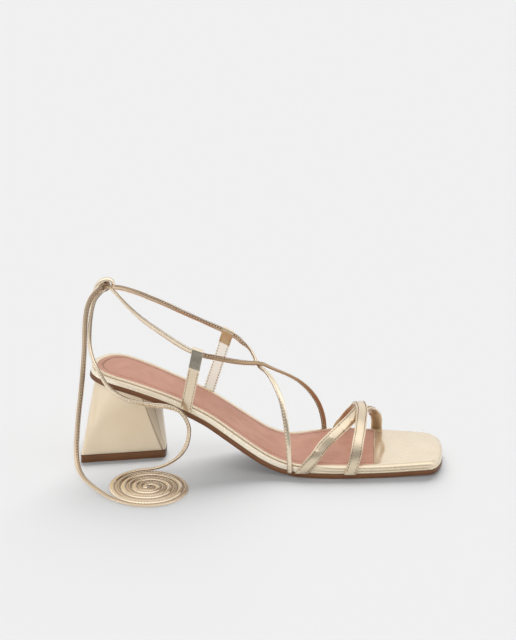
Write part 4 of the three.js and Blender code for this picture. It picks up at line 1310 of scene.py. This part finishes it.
class SANDAL_OT_platform(bpy.types.Operator):
    """Makes the gold platform: side, rolled rim, pocket for the insole, and toe"""

    bl_idname = "sandal.platform"
    bl_label = "Platform"

    def execute(self, context):
        colours = context.scene.sandal_colours
        loops = np.stack([changing_loop(row, *BALL_STRETCH) for row in PLATFORM_PROFILE])
        shape = Shape()
        level = loops[:-1, :, 0] * 0 + np.arange(len(loops) - 1)[:, None]
        behind = loops[:-1, :, 0] < SEAM_SHADE_END
        side, seam = 1, 2
        # Painted light: behind the ball the side band, slot 1, is a paler and less metallic gold.
        slots = np.where(behind & (level > 1) & (level < 9), side, 0)
        # Painted shade: slot 2 lays dark leather in the narrow groove under the bead.
        slots[behind & (level > 9) & (level < 12)] = seam
        shape.loops(loops, slots=slots.ravel())
        shape.across(loops[0], 4)
        self.top(shape, loops[-1])
        materials = [
            gold_leather("platform_foil", colours, 0.35, metal=0.72),
            gold_leather("platform_side_painted_light", colours, 0.35, foil=(0.93, 0.84, 0.68), metal=0.45),
            plain_leather("platform_seam_painted_shade", colours.lining, colours.edge, 0.5),
        ]
        place(shape.piece("platform_gold", materials, 60), "gold_leather", "platform")
        return {"FINISHED"}

    def top(self, shape, loop):
        """The inside of the rim: a pocket as deep as the insole behind its front edge, and ahead
        of it the toe, crowned a little, with its creases."""
        half = len(loop) // 2 + 1
        partner = loop[-np.arange(half) % len(loop)]
        edge = np.array([0.0, 0.004, 0.012, 0.03, 0.06, 0.1])
        share = np.concatenate((edge, np.linspace(0.15, 0.85, 30), 1 - edge[::-1]))
        points = lerp(loop[:half, None], partner[:, None], share[None, :, None])
        x, y = points[..., 0], points[..., 1]
        past = x - INSOLE_FRONT
        in_toe = smoothstep(-0.01, 0.01, past)
        inside = np.minimum(share, 1 - share)[None, :]
        width = np.abs(y[:, :1] - y[:, -1:])
        distance = inside * width
        pocket = -(INSOLE_THICKNESS + 0.1) * (distance > 0.02)
        crowned = 0.05 * smoothstep(0, 2.5, distance) + 0.4 * smoothstep(1.0, 24, distance)
        toe = crowned + toe_relief(x, y) * smoothstep(0, 6, distance)
        toe -= 0.45 * (1 - smoothstep(0, 7, past)) * smoothstep(0.5, 3, distance)
        points[..., 2] += lerp(pocket, toe, in_toe)
        shape.grid(points)


class SANDAL_OT_insole(bpy.types.Operator):
    """Makes the lining leather that lies inside the platform's rim"""

    bl_idname = "sandal.insole"
    bl_label = "Insole"

    def execute(self, context):
        colours = context.scene.sandal_colours
        inset = RIM_WIDTH + 0.05
        profile = (
            (0.1, INSOLE_THICKNESS), (0.0, 0.9), (0.02, 0.6), (0.15, 0.4), (0.4, 0.28), (0.75, 0.22),
        )
        loops = np.stack([
            sole_loop(inset + gap, depth, INSOLE_FRONT, gap * 0.35) for gap, depth in profile
        ])
        shape = Shape()
        shape.loops(loops)
        self.across_front(shape, loops[0], 3)
        self.across_front(shape, loops[-1], 60, True)
        finish = insole_leather("insole_lining", colours)
        place(shape.piece("insole_lining", [finish], 60), "insole_leather", "insole")
        return {"FINISHED"}

    def across_front(self, shape, loop, columns, upper=False):
        """Strips from side to side, up to the straight front edge. The upper ones carry how far
        along the edge and how far inside it each point is, and swell a little."""
        half = len(loop) // 2 + 1
        outer, inner = loop[:half], loop[-np.arange(half) % len(loop)]
        share = np.linspace(0, 1, columns)
        points = lerp(outer[:, None], inner[:, None], share[None, :, None])
        if not upper:
            shape.grid(points)
            return
        flat = points.reshape(-1, 3)
        edge = np.concatenate((outer[::-1], inner[1:]))
        gap = np.stack([np.linalg.norm(flat[:, :2] - p[:2], axis=1) for p in edge])
        nearest = gap.argmin(0)
        inside = gap.min(0) + 0.75
        along = lengths_along(edge)[nearest]
        row = np.exp(-(((inside - PRICKED_INSIDE) / 0.7) ** 2))
        swell = 0.25 * smoothstep(0.7, 2.4, inside) - 0.22 * row
        swell += 0.15 * smoothstep(4.2, 9.0, inside)
        points = points + np.stack((0 * swell, 0 * swell, swell), 1).reshape(points.shape)
        shape.grid(points, 0, np.stack((along, inside), 1).reshape(*points.shape[:2], 2))


HEEL_LEVELS = np.concatenate(([0.0, 0.006, 0.02], np.linspace(0.05, 0.95, 28), [0.985, 1.0]))
HEEL_EDGE = np.concatenate(([0.55, 0.2, 0.04], np.zeros(28), [0.03, 0.2]))


def heel_loop(share, inset=0.0):
    """A closed loop round the heel, between its plan at the foot and at the top: a Catmull-Rom
    curve through the corners, drawn nearly straight between those of its creased faces, and moved
    inwards square to itself."""
    size = np.array([HEEL_LENGTH, HEEL_WIDTH])
    corners = lerp(HEEL_CORNERS[:, 2:] * size, HEEL_CORNERS[:, :2] * size, share)
    mirrored = corners * (1, -1)
    closed = np.concatenate((mirrored[1:][::-1], corners, mirrored[-2:-1]))
    line = smooth_line(closed, HEEL_STEPS)
    way = np.arange(len(line)) / HEEL_STEPS
    whole = np.clip(way.astype(int), 0, len(closed) - 2)
    straight = lerp(closed[whole], closed[whole + 1], (way - whole)[:, None])
    faceted = 0.85 * smoothstep(*HEEL_FLATS[:2], way) * (1 - smoothstep(*HEEL_FLATS[2:], way))
    line = lerp(line, straight, faceted[:, None])
    start, end = HEEL_STEPS * HEEL_SPANS // 2, HEEL_STEPS * HEEL_SPANS
    quarter = line[start : end + 1]
    plan = np.concatenate((quarter * (1, -1), quarter[1:-1][::-1]))
    run = unit(np.roll(plan, -1, axis=0) - np.roll(plan, 1, axis=0))
    return skewed(plan + inset * np.stack((-run[:, 1], run[:, 0]), 1), share)


class SANDAL_OT_heel(bpy.types.Operator):
    """Makes the covered heel and the top piece that it stands on"""

    bl_idname = "sandal.heel"
    bl_label = "Heel"

    def execute(self, context):
        colours = context.scene.sandal_colours
        foot = LIFT_THICKNESS + 0.12
        loops = []
        for share, inset in zip(HEEL_LEVELS, HEEL_EDGE):
            plan = heel_loop(share, inset)
            seat = layer_height(plan[:, 0], SOLE_THICKNESS) - 0.12
            loops.append(np.column_stack((plan, foot + (seat - foot) * share)))
        shape = Shape()
        loops = np.stack(loops)
        around = np.arange(loops.shape[1] + 1) / loops.shape[1]
        shape.loops(loops, np.stack(np.broadcast_arrays(HEEL_LEVELS[:, None], around), -1))
        shape.across(loops[0])
        shape.across(loops[-1])
        # Painted shade along the heel's four creased folds.
        fold_shade = tuple((corner / HEEL_SPANS, 0.0026) for corner in (6, 7, 11, 12))
        gold = gold_leather("heel_foil", colours, 0.5, gloss=(0.4, 0.5), creases=fold_shade, metal=0.5)
        place(shape.piece("heel_covered", [gold], 24), "gold_leather", "heel")

        shape = Shape()
        edges = ((0.6, 0.0), (0.15, 0.12), (0.0, 0.45), (0.0, 4.6), (0.12, 4.9), (0.5, LIFT_THICKNESS))
        loops = [
            np.column_stack((p := heel_loop(0.0, inset), np.full(len(p), z))) for inset, z in edges
        ]
        shape.loops(np.stack(loops))
        shape.across(loops[0])
        shape.across(loops[-1])
        brown = plain_leather(
            "lift_brown", colours.lift, tuple(0.7 * c for c in colours.lift), 0.4, 300.0, 0.00002
        )
        place(shape.piece("heel_top_piece", [brown], 50), "lift_rubber", "heel_lift")
        return {"FINISHED"}


class SANDAL_OT_toe_straps(bpy.types.Operator):
    """Makes the two stitched straps that cross over the toes"""

    bl_idname = "sandal.toe_straps"
    bl_label = "Toe straps"

    def execute(self, context):
        sizes, colours = context.scene.sandal_sizes, context.scene.sandal_colours
        width, thickness = sizes.strap_width / MM, sizes.strap_thickness / MM
        standoff = FIT / 2 + thickness / 2
        front = strap_path(FRONT_STRAP, FRONT_STRAP_FEET, standoff)
        back = strap_path(BACK_STRAP, BACK_STRAP_FEET, standoff)
        front_face, back_face = strap_face(front), strap_face(back)
        _, across, front_face = frame_of(front, front_face)
        share = np.linspace(0, 1, len(front))[:, None]
        turn = math.radians(sizes.strap_twist) * smoothstep(0.44, 0.62, share)
        turn = turn * (1 - smoothstep(0.86, 0.97, share))
        front_face = front_face * np.cos(turn) + across * np.sin(turn)
        rest_on(front, back, front_face, back_face, thickness + 0.15, 7.5)
        edge = width / 2 - 1.05
        outline = band_section(width, thickness, 56, 3.2, 0.22, edge, 0.16)
        middle = (outline[:-1] + outline[1:]) / 2
        within = np.abs(middle[:, 0]) < width / 2 - 0.25
        slots = np.where((middle[:, 1] < -thickness * 0.28) & within, 1, 0)
        shape = Shape()
        for path, face in ((front, front_face), (back, back_face)):
            sweep(shape, path, face, outline, slots)
            for side in (1, -1):
                height = thickness / 2 + 0.02
                stitches(
                    shape, path, face, side * edge, height, 2,
                    sizes.stitch_pitch / MM, sizes.stitch_pitch / MM * 0.66, 0.27, 5.0,
                )
        shape.cut_below(BAND_FOOT)
        materials = [
            gold_leather("strap_foil", colours, 0.35, gloss=(0.24, 0.38)),
            gold_leather("strap_back", colours, 0.35, gloss=(0.34, 0.44), foil=colours.back),
            plain_leather("strap_thread", colours.edge, colours.lining, 0.6),
        ]
        place(shape.piece("toe_straps_stitched", materials), "gold_leather", "toe_straps")
        return {"FINISHED"}


# The tabs' material slots after their foil.
TAB_LINING, TAB_THREAD, TAB_FOLD_SHADE, TAB_TAIL_SHADE = range(1, 5)


class SANDAL_OT_tabs(bpy.types.Operator):
    """Makes the two side tabs, folded over into loops for the lace"""

    bl_idname = "sandal.tabs"
    bl_label = "Side tabs"

    def execute(self, context):
        sizes, colours = context.scene.sandal_sizes, context.scene.sandal_colours
        materials = [
            gold_leather("tab_foil", colours, 0.5),
            gold_leather(
                "tab_back", colours, 0.5, gloss=(0.4, 0.5), foil=(0.86, 0.87, 0.79), metal=0.05
            ),
            plain_leather("tab_thread", colours.edge, colours.lining, 0.6),
            # Painted shade: a darker, browner copy of the gold on the inner face above the tail's end.
            gold_leather(
                "tab_fold_shade", colours, 1.6, gloss=(0.3, 0.45), foil=(0.6, 0.46, 0.27), metal=0.55
            ),
            # Painted shade: a darker, greyer copy of the gold on the tail, for the dark studio it
            # reflects.
            gold_leather("tab_tail_shade", colours, 1.8, foil=(0.56, 0.5, 0.41)),
        ]
        for name, tab in (("tab_outer", TAB_OUTER), ("tab_inner", TAB_INNER)):
            shape = Shape()
            self.strip(shape, tab, sizes)
            place(shape.piece(name + "_folded", materials, 60), "gold_leather", name)
        return {"FINISHED"}

    def strip(self, shape, tab, sizes):
        """The strip's side view: up from the foot, round the loop as half an ellipse, and down the
        outside to the fold's end. Every point then leans and turns with the tab."""
        wall = TAB_WALL - 0.45
        centre = tab["height"] - TAB_WALL - LOOP_HEIGHT / 2
        reach = 0.95 + wall / 2
        fold_end = centre - FOLD_LENGTH
        turn = np.linspace(0, math.pi, 40)
        line = [(-wall / 2 - 0.1, u) for u in np.linspace(0.3, fold_end + 0.8, 30)]
        line += [(-wall / 2 + 0.2, u) for u in np.linspace(fold_end + 1.7, centre - 4.2, 5)]
        line += list(zip(reach * np.cos(turn), centre + 0.3 + 2.0 * np.sin(turn)))
        line += [(-wall - 0.55 - 0.15 * (centre - u), u) for u in np.linspace(centre - 2, fold_end, 9)]
        line = spaced(smooth_line(np.array(line), 4), 0.45)
        run = unit(np.gradient(line, axis=0))
        normal = np.stack((-run[:, 1], run[:, 0]), 1)
        outline = band_section(TAB_WIDTH, wall, 44, 4.0, 0.05, TAB_WIDTH / 2 - 0.9, 0.12)
        closing = np.concatenate(([0.0], np.ones(len(line)), [0.0]))
        line = np.concatenate((line[:1], line, line[-1:]))
        normal = np.concatenate((normal[:1], normal, normal[-1:]))
        side = line[:, None] + normal[:, None] * outline[None, :, 1:] * closing[:, None, None]
        across = outline[None, :, 0] * closing[:, None]
        points = self.bent(tab, side, across)
        middle = (outline[:-1] + outline[1:]) / 2
        rising = (np.arange(len(line)) < line[:, 1].argmax()) & (line[:, 1] < centre)
        lining = rising & (line[:, 1] < fold_end + 1.2)
        back = lining[:-1, None] & (middle[:, 1] < 0)
        # The inner face above the tail's end gets the darker gold of painted shade.
        folded = (rising & ~lining)[:-1, None] & (middle[:, 1] < 0)
        slots = np.where(back, TAB_LINING, np.where(folded, TAB_FOLD_SHADE, 0))
        # The tail gets the darker gold of painted shade.
        slots[line[:, 1].argmax() + 3:] = TAB_TAIL_SHADE
        shape.grid(points, slots.ravel())
        rising[:2] = False
        for edge in (1, -1):
            for out, low in ((1, fold_end - 0.8), (-1, centre - 3.0)):
                at = rising & (line[:, 1] < low)
                raised = line + out * normal * (wall / 2 + 0.03)
                face = self.bent(tab, raised, np.full(len(line), edge * 2.6))
                within = self.bent(tab, line, np.full(len(line), edge * 2.6))
                stitches(
                    shape, face[at], unit(face - within)[at], 0, 0.0, TAB_THREAD,
                    sizes.stitch_pitch / MM, sizes.stitch_pitch / MM * 0.66, 0.27, 1.0,
                )

    def bent(self, tab, side, across):
        """The side view's points, in the leaning and turned tab."""
        return tab_point(tab, side[..., 0] + tab_lean(tab, side[..., 1]), side[..., 1], across)


class SANDAL_OT_lace_crossing(bpy.types.Operator):
    """Makes the two lace strands over the instep and round the ankle"""

    bl_idname = "sandal.lace_crossing"
    bl_label = "Lace over the instep"

    def execute(self, context):
        sizes, colours = context.scene.sandal_sizes, context.scene.sandal_colours
        over = strand_path(INNER_STRAND, ANKLE_OUTER, INNER, ANCHOR_INNER, TAB_OUTER)
        under = strand_path(OUTER_STRAND, ANKLE_INNER, OUTER, ANCHOR_OUTER, TAB_INNER)
        loop = loop_centre(TAB_OUTER)
        over_face, under_face = strand_face(over, loop), strand_face(under, loop_centre(TAB_INNER))
        gap = sizes.lace_thickness / MM + 0.2
        rest_on(over, under, over_face, under_face, gap, 7.0, over[:, 0] > loop[0] + 5)
        shape = Shape()
        lace(shape, over, over_face, sizes, -1, -1, over[:, 0] > loop[0] + 3.5)
        lace(shape, under, under_face, sizes, 1)
        piece = shape.piece("lace_over_instep", lace_materials(colours))
        place(piece, "lace_leather", "lace_crossing")
        return {"FINISHED"}


class SANDAL_PT_panel(bpy.types.Panel):
    """Lists the sandal's sizes, colours and pieces"""

    bl_idname = "SANDAL_PT_panel"
    bl_label = "Sandal"
    bl_space_type = "VIEW_3D"
    bl_region_type = "UI"
    bl_category = "Sandal"

    def draw(self, context):
        for group in (context.scene.sandal_sizes, context.scene.sandal_colours):
            for name in group.__annotations__:
                self.layout.prop(group, name)
        for operator in OPERATORS:
            self.layout.operator(operator.bl_idname)


OPERATORS = (
    SANDAL_OT_free_ends, SANDAL_OT_outsole, SANDAL_OT_platform, SANDAL_OT_insole, SANDAL_OT_heel,
    SANDAL_OT_toe_straps, SANDAL_OT_tabs, SANDAL_OT_lace_crossing, SANDAL_OT_stage,
)
CLASSES = (SandalSizes, SandalColours, *OPERATORS, SANDAL_PT_panel)


def register():
    for one in CLASSES:
        bpy.utils.register_class(one)
    bpy.types.Scene.sandal_sizes = PointerProperty(type=SandalSizes)
    bpy.types.Scene.sandal_colours = PointerProperty(type=SandalColours)


def unregister():
    del bpy.types.Scene.sandal_colours
    del bpy.types.Scene.sandal_sizes
    for one in reversed(CLASSES):
        bpy.utils.unregister_class(one)


def main():
    register()
    for operator in OPERATORS:
        group, name = operator.bl_idname.split(".")
        getattr(getattr(bpy.ops, group), name)()


if __name__ == "__main__":
    main()
